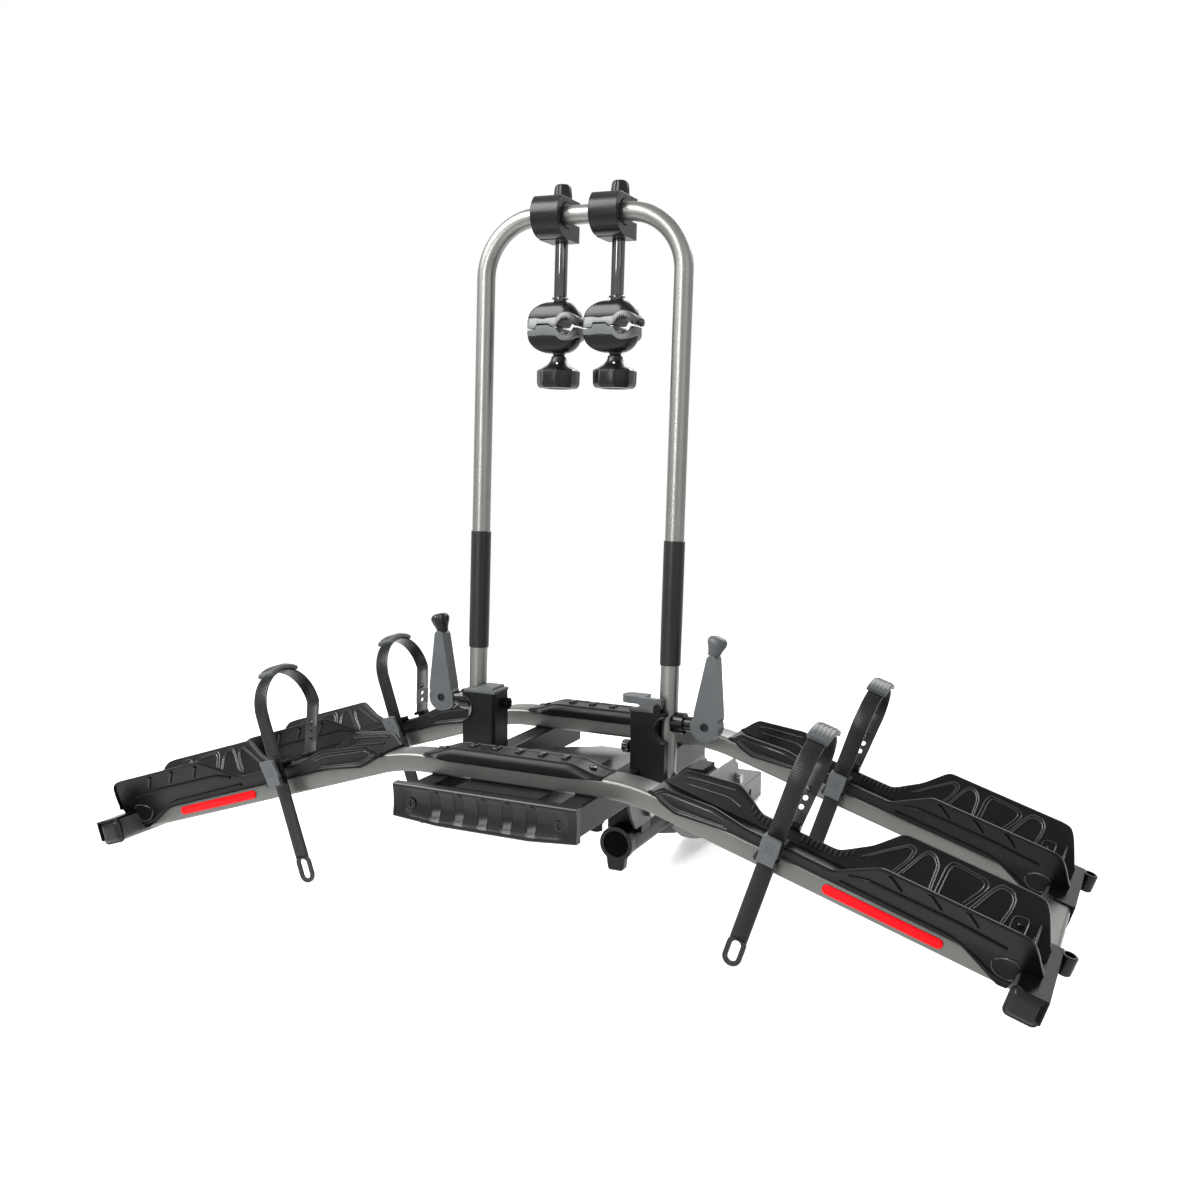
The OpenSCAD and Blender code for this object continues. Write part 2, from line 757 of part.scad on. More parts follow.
// Outline of the upper jaw seen from the front, with the mouth below it
module jaw_outline(grow) {
    difference() {
        union() {
            translate([-head_left - 1, jaw_gap]) square([head_left + mouth_x + 1, jaw_h - jaw_gap + grow]);
            translate([mouth_x, 0]) circle(mouth_ring + grow);
        }
        translate([-head_left - 2, -mouth_ring - 2]) square([90, mouth_ring + 2 + jaw_gap]);
    }
}

// Black domed cover of one jaw
module jaw_cover() {
    difference() {
        hull() {
            linear_extrude(jaw_h + 2) head_plan(0, $fn = 32);
            translate([0, 0, head_h - 12]) linear_extrude(3) scale([0.72, 0.72]) head_plan(0, $fn = 32);
            translate([0, 0, head_h - 1]) cylinder(h = 1, r = rod_d / 2 + 4, $fn = 32);
        }
        span_y(-head_half - 1, head_half + 1) {
            jaw_outline(0.2);
            translate([-head_left - 2, -10]) square([100, 10 + jaw_gap]);
            translate([mouth_x, 0]) circle(mouth_ring + 0.2);
        }
    }
}

// Grey jaw plate with a half-round mouth and teeth
module jaw_plate() {
    difference() {
        intersection() {
            span_y(-head_half, head_half) jaw_outline(0);
            linear_extrude(40) head_plan(1);
        }
        translate([mouth_x, 0, 0]) bar_y(-head_half - 1, head_half + 1, mouth_d / 2);
        for (a = [20:20:160]) translate([mouth_x, 0, 0]) rotate([0, -a, 0])
            translate([mouth_d / 2, 0, 0]) bar_y(-head_half - 1, head_half + 1, 1);
    }
}

module on_split(x) on_rod(x) translate([0, 0, -head_drop - head_h]) children();

module head_shell(x) {
    color(molded_black) on_split(x) difference() {
        jaw_cover();
        translate([0, 0, head_h - 6]) cylinder(h = 8, r = rod_d / 2 + bolt_fit);
        cylinder(h = head_h, r = stud_d / 2 + run_fit);
    }
}

module upper_jaw(x) {
    color(steel_grey) on_split(x) difference() {
        union() {
            jaw_plate();
            translate([0, 0, jaw_gap + 3]) bar_x(head_right - 2, head_right + 4.5, 3);
        }
        translate([0, 0, -1]) cylinder(h = head_h, r = stud_d / 2 + run_fit);
        translate([mouth_x, 0, 0]) bar_y(-head_half - 1, head_half + 1, mouth_d / 2);
    }
}

module lower_jaw(x) {
    on_split(x) mirror([0, 0, 1]) {
        color(steel_grey) difference() {
            jaw_plate();
            translate([0, 0, -1]) cylinder(h = head_h + 2, r = stud_d / 2 + run_fit);
        }
        color(molded_black) difference() {
            jaw_cover();
            translate([0, 0, -1]) cylinder(h = head_h + 2, r = stud_d / 2 + run_fit);
        }
    }
}

module lower_knob(x) {
    r = knob_d / 2;
    color(molded_black) on_rod(x) translate([0, 0, -head_low - side_gap]) mirror([0, 0, 1]) difference() {
        union() {
            cylinder(h = 6, r = 12);
            translate([0, 0, 5]) cylinder(h = 13, r1 = 12, r2 = r - 1);
            translate([0, 0, 18]) cylinder(h = knob_h - 22, r = r);
            translate([0, 0, knob_h - 4]) cylinder(h = 4, r1 = r, r2 = r - 4);
        }
        translate([0, 0, -1]) cylinder(h = knob_h - 6, r = stud_d / 2 + run_fit);
        for (i = [0:7]) rotate([0, 0, i * 45]) translate([r + 8, 0, 17]) cylinder(h = knob_h, r = 10.5);
    }
}

module liner_left() liner(arm_left_x);
module collar_left() collar(arm_left_x);
module rod_left() rod(arm_left_x);
module top_knob_left() top_knob(arm_left_x);
module shell_left() head_shell(arm_left_x);
module upper_jaw_left() upper_jaw(arm_left_x);
module lower_jaw_left() lower_jaw(arm_left_x);
module lower_knob_left() lower_knob(arm_left_x);
module liner_right() liner(arm_right_x);
module collar_right() collar(arm_right_x);
module rod_right() rod(arm_right_x);
module top_knob_right() top_knob(arm_right_x);
module shell_right() head_shell(arm_right_x);
module upper_jaw_right() upper_jaw(arm_right_x);
module lower_jaw_right() lower_jaw(arm_right_x);
module lower_knob_right() lower_knob(arm_right_x);

// Wheel tray: a V-shaped trough that straddles the rail
wall_foot = rail_h + 2;
tray_end = wing_len + 3;
skirt_end = wing_len - side_gap;
tray_start = 20;
tray_tip = wing_len + 26;
wall_rise = strap_s + 96;
wall_high = strap_s + 123;

// Offset of the outer face of a tray wall from the rail centre line at height n
function wall_out(n) = rail_side + side_gap + tray_t + max(n - wall_foot, 0) * tray_spread;
function wall_in(n) = wall_out(n) - tray_t;

near_edge = [[28, 29], [36, 43], [109, 51], [134, 46], [150, ride_near], [strap_s + 73, ride_near],
    [wall_rise, 60], [wall_high, tray_high], [wing_len - 10, tray_high], [tray_end, tray_high - 3],
    [wing_len + 11, 66], [tray_tip, 36]];
far_edge = [[tray_start, 25], [38, 48], [109, 59], [130, 50], [149, ride_far], [strap_s + 62, ride_far],
    [wall_rise, 60], [wall_high, tray_high + 5], [wing_len - 10, tray_high + 5], [tray_end, tray_high + 3],
    [wing_len + 11, 70], [tray_tip, 36]];
low_edge = [[tray_tip, bar_top], [skirt_end, bar_top], [skirt_end, 2], [wing_len - 15, 1],
    [wing_len - 66, rail_h], [wing_len - 81, rail_h], [132, rail_h], [60, 15], [40, 20], [28, 27]];

// Cross-section of the trough, open at the top
module trough_section() {
    top = tray_high + 10;
    difference() {
        polygon([[-rail_side - side_gap - tray_t, 0], [-wall_out(wall_foot), wall_foot], [-wall_out(top), top],
            [wall_out(top), top], [wall_out(wall_foot), wall_foot], [rail_side + side_gap + tray_t, 0]]);
        polygon([[-wall_in(wall_foot), wall_foot + tray_t - 2], [-wall_in(top + 1), top + 1],
            [wall_in(top + 1), top + 1], [wall_in(wall_foot), wall_foot + tray_t - 2]]);
        translate([-rail_side - side_gap, -1]) square([rail_w + 2 * side_gap, rail_h + 1]);
    }
}

boss_r = 10;
boss_y = 70;
shelf_near = -72;
shelf_far = 82;
lip_s = wing_len + end_bar_w + side_gap;

module tray(side, y) {
    color(molded_black) on_wing(side) translate([0, y, 0]) difference() {
        union() {
            intersection() {
                span_x(tray_start, tray_tip) trough_section();
                union() {
                    span_y(-80, 0) polygon(concat(near_edge, low_edge));
                    span_y(0, 80) polygon(concat(far_edge, low_edge));
                }
            }
            intersection() {
                span_x(tray_end, tray_end + tray_t)
                    polygon([[-wall_out(wall_foot), bar_top], [-wall_out(62), 62], [wall_out(62), 62],
                        [wall_out(wall_foot), bar_top]]);
                span_y(-80, 80) polygon(concat(near_edge, [[tray_tip, bar_top], [28, bar_top]]));
            }
            box([tray_end, shelf_near, bar_top], [lip_s + tray_t, shelf_far, bar_top + tray_t]);
            box([lip_s, shelf_near, 0], [lip_s + tray_t, shelf_far, bar_top + tray_t]);
            translate([lip_s + boss_r, boss_y, 8]) cylinder(h = bar_top + tray_t - 8, r = boss_r);
        }
        translate([lip_s + boss_r, boss_y, 14]) cylinder(h = 30, r = boss_r - 3.5);
        box([skirt_end, -80, -10], [lip_s, 80, bar_top]);
    }
}

module tray_front_right() tray(1, -rail_y);
module tray_front_left() tray(-1, -rail_y);
module tray_rear_right() tray(1, rail_y);
module tray_rear_left() tray(-1, rail_y);

// Reflectors on the front rail
reflector_from = strap_s + 72;
reflector_to = wing_len - 87;
reflector_r = 6;
reflector_t = 2.5;

module reflectors() {
    color(reflector_red) for (side = [-1, 1]) on_wing(side)
        span_y(-rail_y - rail_side - reflector_t, -rail_y - rail_side) translate([0, rail_h / 2 + 0.5]) {
            translate([reflector_from, 0]) circle(reflector_r);
            translate([reflector_from, -reflector_r]) square([reflector_to - reflector_from, 2 * reflector_r]);
            translate([reflector_to, 0]) circle(reflector_r);
        }
}

// Wheel strap: band, near buckle base, far clip and pad
strap_x = rail_side + 19.5;
loop_mid = loop_r + strap_t - strap_x;
band_in = loop_r;
band_out = loop_r + strap_t;
base_side = 3;
clip_gap = 0.6;
base_out = strap_x + 5;
lever_pin_y = base_out + 5;
lever_pin_n = 24;
cheek_t = 2.5;
far_holes = [64, 76];
tail_slot = 22 - tail_len;

module band_outline() {
    translate([loop_mid, loop_n]) intersection() {
        ring_outline(band_out, strap_t);
        translate([-band_out - 1, 0]) square([2 * band_out + 2, band_out + 1]);
    }
    translate([-strap_x, -tail_len]) square([strap_t, loop_n + tail_len]);
    polygon([[loop_mid + band_in, loop_n], [loop_mid + band_out, loop_n],
        [wall_out(ride_far) + 1, ride_far + 6], [wall_out(ride_far) - 3, ride_far + 6]]);
}

// Outline of a clip that hooks over a tray wall, on the +Y side
module clip_outline(n, out, low) {
    polygon([[wall_in(n - 5) - clip_gap - 3, n - 5], [wall_in(n - 5) - clip_gap - 3, n + 8], [out, n + 8],
        [out, low], [wall_out(low) + clip_gap + 0.6, low], [wall_out(wall_foot) + clip_gap + 0.6, wall_foot],
        [wall_out(n) + clip_gap, n + 0.8], [wall_in(n) - clip_gap, n + 0.8], [wall_in(n - 5) - clip_gap, n - 5]]);
}

module strap(side, y) {
    from = strap_s - strap_w / 2;
    to = strap_s + strap_w / 2;
    on_wing(side) translate([0, y, 0]) {
        color(strap_black) difference() {
            span_x(from, to) band_outline();
            for (n = far_holes) translate([strap_s, 0, n]) bar_y(ride_far, band_out + loop_mid, 3);
            translate([strap_s, 0, tail_slot]) bar_y(-strap_x - 1, -strap_x + strap_t + 1, 3.5);
            translate([strap_s, 0, tail_slot - 14]) bar_y(-strap_x - 1, -strap_x + strap_t + 1, 3.5);
            box([strap_s - 3.5, -strap_x - 1, tail_slot - 14], [strap_s + 3.5, -strap_x + strap_t + 1, tail_slot]);
        }
        color(molded_black) difference() {
            union() {
                span_x(from - base_side, to + base_side) mirror([1, 0]) clip_outline(ride_near, base_out, 20);
                for (s = [from - base_side, to + base_side - cheek_t])
                    span_x(s, s + cheek_t) mirror([1, 0]) {
                        translate([base_out - 1, lever_pin_n - 4]) square([lever_pin_y - base_out + 1, 8]);
                        translate([lever_pin_y, lever_pin_n]) circle(4);
                    }
                translate([0, -lever_pin_y, lever_pin_n]) bar_x(from - base_side, to + base_side, 2);
            }
            box([from - side_gap, -strap_x - side_gap, 0], [to + side_gap, -strap_x + strap_t + side_gap, 60]);
        }
        color(molded_black) span_x(from, to) clip_outline(ride_far, wall_out(ride_far) + 7, 28);
        color(lever_grey) intersection() {
            span_x(strap_s - 17, strap_s + 17) translate([loop_mid, loop_n])
                ring_outline(band_out + 4.2, 4);
            span_x(strap_s - 17, strap_s + 17) translate([loop_mid, loop_n])
                polygon([[0, 0], [-40, 80], [40, 80]]);
        }
    }
}

module strap_front_right() strap(1, -rail_y);
module strap_front_left() strap(-1, -rail_y);
module strap_rear_right() strap(1, rail_y);
module strap_rear_left() strap(-1, rail_y);

// Buckle lever: square paddle on a pin along the wing
module buckle(side, y) {
    from = strap_s - strap_w / 2;
    to = strap_s + strap_w / 2;
    color(lever_grey) on_wing(side) translate([0, y, 0]) difference() {
        union() {
            span_x(from - base_side + cheek_t + side_gap, to + base_side - cheek_t - side_gap)
                mirror([1, 0]) {
                    translate([lever_pin_y, lever_pin_n]) circle(4.2);
                    polygon([[lever_pin_y, lever_pin_n - 4], [lever_pin_y + 4.2, lever_pin_n],
                        [lever_pin_y + 4, 34], [lever_pin_y - 3, 34], [lever_pin_y - 3, lever_pin_n + 3]]);
                }
            span_x(from - 1, to + 1)
                mirror([1, 0]) polygon([[lever_pin_y - 3, 30], [lever_pin_y + 3, 30], [lever_pin_y + 8, 57],
                    [lever_pin_y + 2, 57]]);
        }
        translate([0, -lever_pin_y, lever_pin_n]) bar_x(from - base_side, to + base_side, 2 + run_fit);
    }
}

module buckle_front_right() buckle(1, -rail_y);
module buckle_front_left() buckle(-1, -rail_y);
module buckle_rear_right() buckle(1, rail_y);
module buckle_rear_left() buckle(-1, rail_y);

// Hitch shank with a bush for the hitch pin
bush_d = hitch_pin_d + 8;

module shank() {
    color(hitch_grey) difference() {
        union() {
            span_y(-shank_front, shank_back) tube_outline(shank_w, shank_w, shank_wall, 4);
            bar_x(-shank_w / 2, shank_w / 2, bush_d / 2);
        }
        bar_x(-shank_w, shank_w, hitch_pin_d / 2);
    }
}

// Clevis plates welded to the sides of the shank
ear_y = -111;
ear_z = beam_rise - 11;
ear_r = 18;
weld_y = -50;
clevis_front = -(fold_reach + 221);
clevis_top = beam_rise + 28;

module clevis_plate() {
    shank_low = -shank_w / 2;
    difference() {
        union() {
            span_x(clevis_in, clevis_out) {
                polygon([[clevis_front, beam_rise - 13], [clevis_front + 16, beam_rise - 27],
                    [clevis_front + 46, beam_rise - 45], [clevis_front + 91, beam_rise - 62],
                    [-fold_reach - 60, beam_rise - 82], [-fold_reach - 5, shank_low + 5.4],
                    [-shank_front - 40, shank_low], [weld_y, shank_low], [weld_y, shank_w / 2],
                    [ear_y + ear_r, ear_z + 1], [-shank_front - 50, clevis_top],
                    [-fold_reach - 40, clevis_top], [clevis_front, beam_rise + 8]]);
                translate([ear_y, ear_z + 13]) circle(ear_r);
                translate([-shank_front - 50, ear_z - 20]) square([ear_y + shank_front + 51, 58]);
            }
            if (clevis_in > shank_w / 2)
                box([shank_w / 2, -shank_front, shank_low], [clevis_in, weld_y, shank_w / 2]);
        }
        translate([0, -fold_reach, beam_rise]) bar_x(clevis_in - 1, clevis_out + 1, pivot_d / 2 + bolt_fit);
        translate([0, ear_y, ear_z]) {
            box([clevis_in - 1, -lock_pin_d / 2 - run_fit, -6], [clevis_out + 1, lock_pin_d / 2 + run_fit, 6]);
            for (z = [-6, 6]) translate([0, 0, z])
                bar_x(clevis_in - 1, clevis_out + 1, lock_pin_d / 2 + run_fit);
        }
    }
}

module clevis_left() color(hitch_grey) mirror([1, 0, 0]) clevis_plate();
module clevis_right() color(hitch_grey) clevis_plate();

module fold_bolt() {
    color(steel_grey) translate([0, -fold_reach, beam_rise]) {
        bar_x(-clevis_out, clevis_out, pivot_d / 2);
        bar_x(clevis_out, clevis_out + bolt_head_t, bolt_head_r);
        translate([-clevis_out - bolt_head_t, 0, 0]) rotate([0, 90, 0])
            cylinder(h = bolt_head_t, r = bolt_head_r, $fn = 6);
    }
}

module fold_pin() {
    color(steel_grey) translate([0, ear_y, ear_z]) {
        bar_x(-12, clevis_out + 1, lock_pin_d / 2);
        bar_x(clevis_out + side_gap + 0.2, clevis_out + 12, 9);
    }
}

// Beam tube with the tilt lug, the fold bush and the locking tongue
tongue_t = 10;
tongue_r = 12;
beam_front = tilt_y - beam_nose;
beam_back = -165;
lug_half = min(neck_narrow - neck_t - side_gap, 28.7);

module beam() {
    color(frame_black) difference() {
        union() {
            translate([0, 0, beam_rise]) span_y(beam_front, beam_back) ring_outline(beam_d / 2, beam_wall);
            translate([0, -fold_reach, beam_rise]) bar_x(-clevis_in + side_gap, clevis_in - side_gap, 11);
            span_x(-tongue_t / 2, tongue_t / 2)
                polygon([[-fold_reach - 25, beam_rise - 20], [beam_back, beam_rise - 22],
                    [ear_y, ear_z - tongue_r], [ear_y + 4, ear_z + 8], [ear_y, ear_z + tongue_r],
                    [beam_back, beam_rise + 16], [-fold_reach - 25, beam_rise + 20]]);
            translate([0, ear_y, ear_z]) bar_x(-tongue_t / 2, tongue_t / 2, tongue_r);
            intersection() {
                union() {
                    box([-lug_half, tilt_y - 17, beam_rise], [lug_half, tilt_y + 17, tilt_z]);
                    translate([0, tilt_y, tilt_z]) bar_x(-lug_half, lug_half, 17);
                }
                box([-lug_half, tilt_y - 30, beam_rise + 12], [lug_half, tilt_y + 30, tilt_z + 30]);
            }
            box([-14, -fold_reach - 38, beam_rise + 15], [14, -fold_reach + 22, beam_rise + 33]);
        }
        translate([0, tilt_y, tilt_z]) bar_x(-lug_half - 1, lug_half + 1, pivot_d / 2 + run_fit);
        translate([0, -fold_reach, beam_rise]) bar_x(-40, 40, pivot_d / 2 + run_fit);
        translate([0, ear_y, ear_z]) bar_x(-20, 20, lock_pin_d / 2 + run_fit);
    }
}

cap_foot = 42;

module beam_cap() {
    color(molded_black) translate([0, 0, beam_rise]) {
        difference() {
            bar_y(beam_front - 6, beam_front + 7, beam_d / 2 + 1.6);
            bar_y(beam_front, beam_front + 8, beam_d / 2 + 0.1);
            bar_y(beam_front - 7, beam_front - 2, beam_d / 2 - 5);
        }
        difference() {
            span_y(beam_front - 6, beam_front + 7)
                polygon([[-16, -18], [16, -18], [13, 3 - cap_foot], [10, -cap_foot], [-10, -cap_foot],
                    [-13, 3 - cap_foot]]);
            bar_y(beam_front - 7, beam_front + 8, beam_d / 2 + 1);
        }
    }
}

shank();
clevis_left();
clevis_right();
fold_bolt();
fold_pin();
beam();
beam_cap();
base_frame();
neck();
rail_front();
rail_rear();
end_bars();
end_caps();
front_plate();
plate_screws();
cover_front();
cover_rear();
tray_front_right();
tray_front_left();
tray_rear_right();
tray_rear_left();
post_left();
post_right();
post_cap();
reflectors();
feet();
pivot_bolts();
release_handle();
post_knob();
hoop();
sleeves();
cam_bolts();
cam_lever_left();
cam_lever_right();
cam_knob_left();
cam_knob_right();
liner_left();
collar_left();
rod_left();
top_knob_left();
shell_left();
upper_jaw_left();
lower_jaw_left();
lower_knob_left();
liner_right();
collar_right();
rod_right();
top_knob_right();
shell_right();
upper_jaw_right();
lower_jaw_right();
lower_knob_right();
strap_front_right();
strap_front_left();
strap_rear_right();
strap_rear_left();
buckle_front_right();
buckle_front_left();
buckle_rear_right();
buckle_rear_left();
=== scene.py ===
import bpy
import bmesh
from math import atan, atan2, cos, hypot, pi, radians, sin, sqrt, tan
from mathutils import Matrix, Vector


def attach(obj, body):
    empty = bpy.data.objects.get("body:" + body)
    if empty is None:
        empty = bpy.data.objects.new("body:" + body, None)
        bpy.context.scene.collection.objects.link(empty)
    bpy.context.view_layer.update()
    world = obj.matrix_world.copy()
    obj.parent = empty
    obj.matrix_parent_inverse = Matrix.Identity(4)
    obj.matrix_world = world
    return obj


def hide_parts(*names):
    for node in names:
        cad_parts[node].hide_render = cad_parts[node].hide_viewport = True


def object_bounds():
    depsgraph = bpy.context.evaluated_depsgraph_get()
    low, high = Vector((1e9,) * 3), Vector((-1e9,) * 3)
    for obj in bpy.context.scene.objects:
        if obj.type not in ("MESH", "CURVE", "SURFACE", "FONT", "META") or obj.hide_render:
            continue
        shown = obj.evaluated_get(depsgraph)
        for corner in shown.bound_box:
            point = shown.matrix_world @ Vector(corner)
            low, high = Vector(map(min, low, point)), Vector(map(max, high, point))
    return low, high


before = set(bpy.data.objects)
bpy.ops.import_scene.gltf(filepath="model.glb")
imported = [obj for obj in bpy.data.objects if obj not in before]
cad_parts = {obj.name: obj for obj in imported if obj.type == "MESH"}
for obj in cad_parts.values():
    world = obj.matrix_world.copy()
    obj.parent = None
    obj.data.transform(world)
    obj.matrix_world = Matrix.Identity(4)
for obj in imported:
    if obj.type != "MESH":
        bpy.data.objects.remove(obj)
scene = bpy.context.scene
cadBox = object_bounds()
print("stage: frame loaded,", len(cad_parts), "nodes")

# places in millimetres and angles in degrees, the same as in the model
mm = 0.001
places = {
    "platformY": -740, "platformZ": 250, "wingStart": 165, "droop": 18, "railY": 146,
    "footDrop": 15, "lean": 2.8, "hoopLength": 752, "rodBack": 27, "splitDown": 146,
    "armLeft": -45, "armRight": 41,
}
sides = {"right": 1, "left": -1}
rows = {"front": -places["railY"], "rear": places["railY"]}
corners = {rowName + "_" + sideName: (side, rowY)
           for rowName, rowY in rows.items() for sideName, side in sides.items()}
unmoved = Matrix()


def moved(x, y, z):
    return Matrix.Translation((x, y, z))


def spun(degrees, axis):
    return Matrix.Rotation(radians(degrees), 4, axis)


platform = moved(0, places["platformY"], places["platformZ"])
hoopPlace = platform @ moved(0, 0, -places["footDrop"]) @ spun(-places["lean"], "X")


def wing(side, y=0):
    mirror = Matrix.Diagonal((side, 1, 1, 1))
    out = moved(places["wingStart"], 0, 0)
    droop = spun(places["droop"], "Y")
    return platform @ mirror @ out @ droop @ moved(0, y, 0)


def rodPlace(x):
    return hoopPlace @ moved(x, places["rodBack"], places["hoopLength"])


def linked(name, data):
    obj = bpy.data.objects.new(name, data)
    scene.collection.objects.link(obj)
    return obj


# camera at the photograph's place and angle
view = {"place": (0.7735, -2.3007, 0.7182), "azimuth": 24.97, "down": 8.15, "roll": 0.5,
        "lens": 38.47, "sensor": 36}
az, down, roll = (radians(view[k]) for k in ("azimuth", "down", "roll"))
ahead = Vector((-sin(az) * cos(down), cos(az) * cos(down), -sin(down)))
right = Vector((cos(az), sin(az), 0))
up = right.cross(ahead)
camX = cos(roll) * right + sin(roll) * up
camY = -sin(roll) * right + cos(roll) * up
camData = bpy.data.cameras.new("photoCamera")
camData.lens, camData.sensor_width, camData.sensor_fit = view["lens"], view["sensor"], "HORIZONTAL"
camera = linked("photoCamera", camData)
turn = Matrix((camX, camY, -ahead)).transposed().to_4x4()
camera.matrix_world = moved(*view["place"]) @ turn
scene.camera = camera
scene.view_settings.view_transform = "Standard"


# a tree and one of its sockets: Python's own maths on it adds Math nodes
class Wire:
    def __init__(self, tree, socket=None):
        self.tree = tree
        self.socket = socket

    def make(self, kind, settings=None, sockets=None, out=0):
        node = self.tree.nodes.new(kind)
        for key, value in (settings or {}).items():
            setattr(node, key, value)
        for key, value in (sockets or {}).items():
            if isinstance(value, Wire):
                self.tree.links.new(value.socket, node.inputs[key])
            else:
                node.inputs[key].default_value = value
        return Wire(self.tree, node.outputs[out] if node.outputs else None)

    def maths(self, operation, first, second):
        return self.make("ShaderNodeMath", {"operation": operation}, {0: first, 1: second})

    def __add__(self, other):
        return self.maths("ADD", self, other)

    __radd__ = __add__

    def __sub__(self, other):
        return self.maths("SUBTRACT", self, other)

    def __rsub__(self, other):
        return self.maths("SUBTRACT", other, self)

    def __mul__(self, other):
        return self.maths("MULTIPLY", self, other)

    __rmul__ = __mul__


def noiseAt(wire, point, scale, detail, rough=0.5):
    sockets = {"Vector": point, "Scale": scale, "Detail": detail, "Roughness": rough}
    return wire.make("ShaderNodeTexNoise", None, sockets)


def mapped(wire, value, low, high, newLow=0.0, newHigh=1.0, kind="LINEAR"):
    sockets = {0: value, 1: low, 2: high, 3: newLow, 4: newHigh}
    return wire.make("ShaderNodeMapRange", {"interpolation_type": kind}, sockets)


def mixColour(wire, share, first, second):
    sockets = {0: share, 6: (*first, 1), 7: (*second, 1)}
    return wire.make("ShaderNodeMix", {"data_type": "RGBA"}, sockets, 2)


def emptyTree(owner):
    owner.use_nodes = True
    owner.node_tree.nodes.clear()
    return Wire(owner.node_tree)


noiseSpan = (0.3, 0.7)


# a finish: a broad and a fine noise shift colour and roughness, and the fine one is the bump too
def surface(name, low, high, rough, grain, metal=0.0, mottle=14.0, specular=0.5, coat=0.0,
            stretch=(1, 1, 1), grainDepth=0.00004, spread=0.35):
    material = bpy.data.materials.new(name)
    wire = emptyTree(material)
    point = wire.make("ShaderNodeTexCoord", out="Object")
    placed = wire.make("ShaderNodeMapping", None, {"Vector": point, "Scale": stretch})
    broad = noiseAt(wire, point, mottle, 4.0, 0.6)
    fine = noiseAt(wire, placed, grain, 2.0, 0.6)
    share = mapped(wire, broad * (1 - spread) + fine * spread, *noiseSpan)
    sockets = {"Base Color": mixColour(wire, share, low, high),
               "Roughness": mapped(wire, broad * 0.6 + fine * 0.4, *noiseSpan, *rough),
               "Metallic": metal, "Specular IOR Level": specular, "Coat Weight": coat,
               "Coat Roughness": 0.1}
    if grainDepth:
        bump = {"Strength": 0.6, "Distance": grainDepth, "Height": fine}
        sockets["Normal"] = wire.make("ShaderNodeBump", None, bump)
    shader = wire.make("ShaderNodeBsdfPrincipled", None, sockets)
    wire.make("ShaderNodeOutputMaterial", None, {"Surface": shader})
    return material


# slot, darker and lighter colour, roughness span, scale of the fine noise, and what differs
looks = {
    "powderBlack": ("frame_black", (0.0032, 0.0032, 0.0034), (0.006, 0.006, 0.0062), (0.32, 0.42), 1500,
                    dict(specular=0.14)),
    "hitchGrey": ("hitch_grey", (0.09, 0.094, 0.092), (0.125, 0.13, 0.127), (0.38, 0.5), 1300,
                  dict(metal=0.2, specular=0.3)),
    "railSilver": ("rail_silver", (0.10, 0.104, 0.096), (0.125, 0.13, 0.12), (0.32, 0.37), 260,
                   dict(metal=0.7, grainDepth=0, specular=0.3, spread=0.2)),
    "hoopSilver": ("rail_silver", (0.175, 0.18, 0.168), (0.205, 0.21, 0.198), (0.33, 0.37), 240,
                   dict(metal=0.92, grainDepth=0, specular=0.3, spread=0.2)),
    "mouldedBlack": ("molded_black", (0.0022, 0.0022, 0.0024), (0.005, 0.005, 0.0054), (0.24, 0.36), 900,
                     dict(mottle=22, specular=0.11)),
    "satinBlack": ("molded_black", (0.003, 0.0033, 0.0035), (0.0065, 0.0068, 0.0071), (0.22, 0.32), 1100,
                   dict(specular=0.22)),
    "glossBlack": ("molded_black", (0.0035, 0.0035, 0.004), (0.0075, 0.0075, 0.008), (0.14, 0.22), 700,
                   dict(specular=0.24, coat=0.04)),
    "gripBlack": ("molded_black", (0.0055, 0.0055, 0.0055), (0.0095, 0.0095, 0.0095), (0.28, 0.38), 1200,
                  dict(specular=0.26)),
    # lighter black for the raised lines on the tray walls: painted highlight along their top edges
    "paintedHighlightBlack": ("molded_black", (0.013, 0.013, 0.0135), (0.024, 0.024, 0.0245), (0.2, 0.3), 900,
                  dict(specular=0.4)),
    "strapRubber": ("strap_rubber", (0.007, 0.007, 0.0075), (0.014, 0.014, 0.0145), (0.32, 0.45), 1000,
                    dict(mottle=40, specular=0.2)),
    "leverGrey": ("lever_grey", (0.05, 0.055, 0.0575), (0.068, 0.073, 0.0755), (0.34, 0.46), 1100,
                  dict(mottle=25, specular=0.26)),
    "jawGrey": ("jaw_grey", (0.078, 0.082, 0.084), (0.108, 0.112, 0.114), (0.34, 0.44), 1000,
                dict(mottle=30, metal=0.1, specular=0.3)),
    "chrome": ("steel", (0.075, 0.075, 0.078), (0.13, 0.13, 0.133), (0.08, 0.16), 500,
               dict(metal=1.0, grainDepth=0, stretch=(1, 1, 0.05))),
    "zinc": ("steel", (0.18, 0.18, 0.175), (0.27, 0.27, 0.265), (0.2, 0.32), 900,
             dict(metal=1.0, grainDepth=0.00003)),
    "reflectorRed": ("reflector_red", (0.55, 0.0006, 0.003), (0.66, 0.001, 0.005), (0.3, 0.4), 420,
                     dict(grainDepth=0.0003, specular=0.12)),
    "footRubber": ("foot_rubber", (0.006, 0.006, 0.006), (0.012, 0.012, 0.012), (0.55, 0.7), 800,
                   dict(specular=0.15)),
    # near-black with almost no reflection: painted shade for the disc in the beam cap's hollow
    "paintedShadeBlack": ("molded_black", (0.0015, 0.0015, 0.0015), (0.004, 0.004, 0.004), (0.7, 0.9), 300,
                   dict(specular=0.02)),
}
finishes = {name: surface(name, *look[1:5], **look[5]) for name, look in looks.items()}
print("stage: materials made,", len(finishes))


# the point (a, b) of a drawing, lifted by t along the axis
def onAxis(axis, a, b, t):
    return {"x": (t, a, b), "y": (a, t, b), "z": (a, b, t)}[axis]


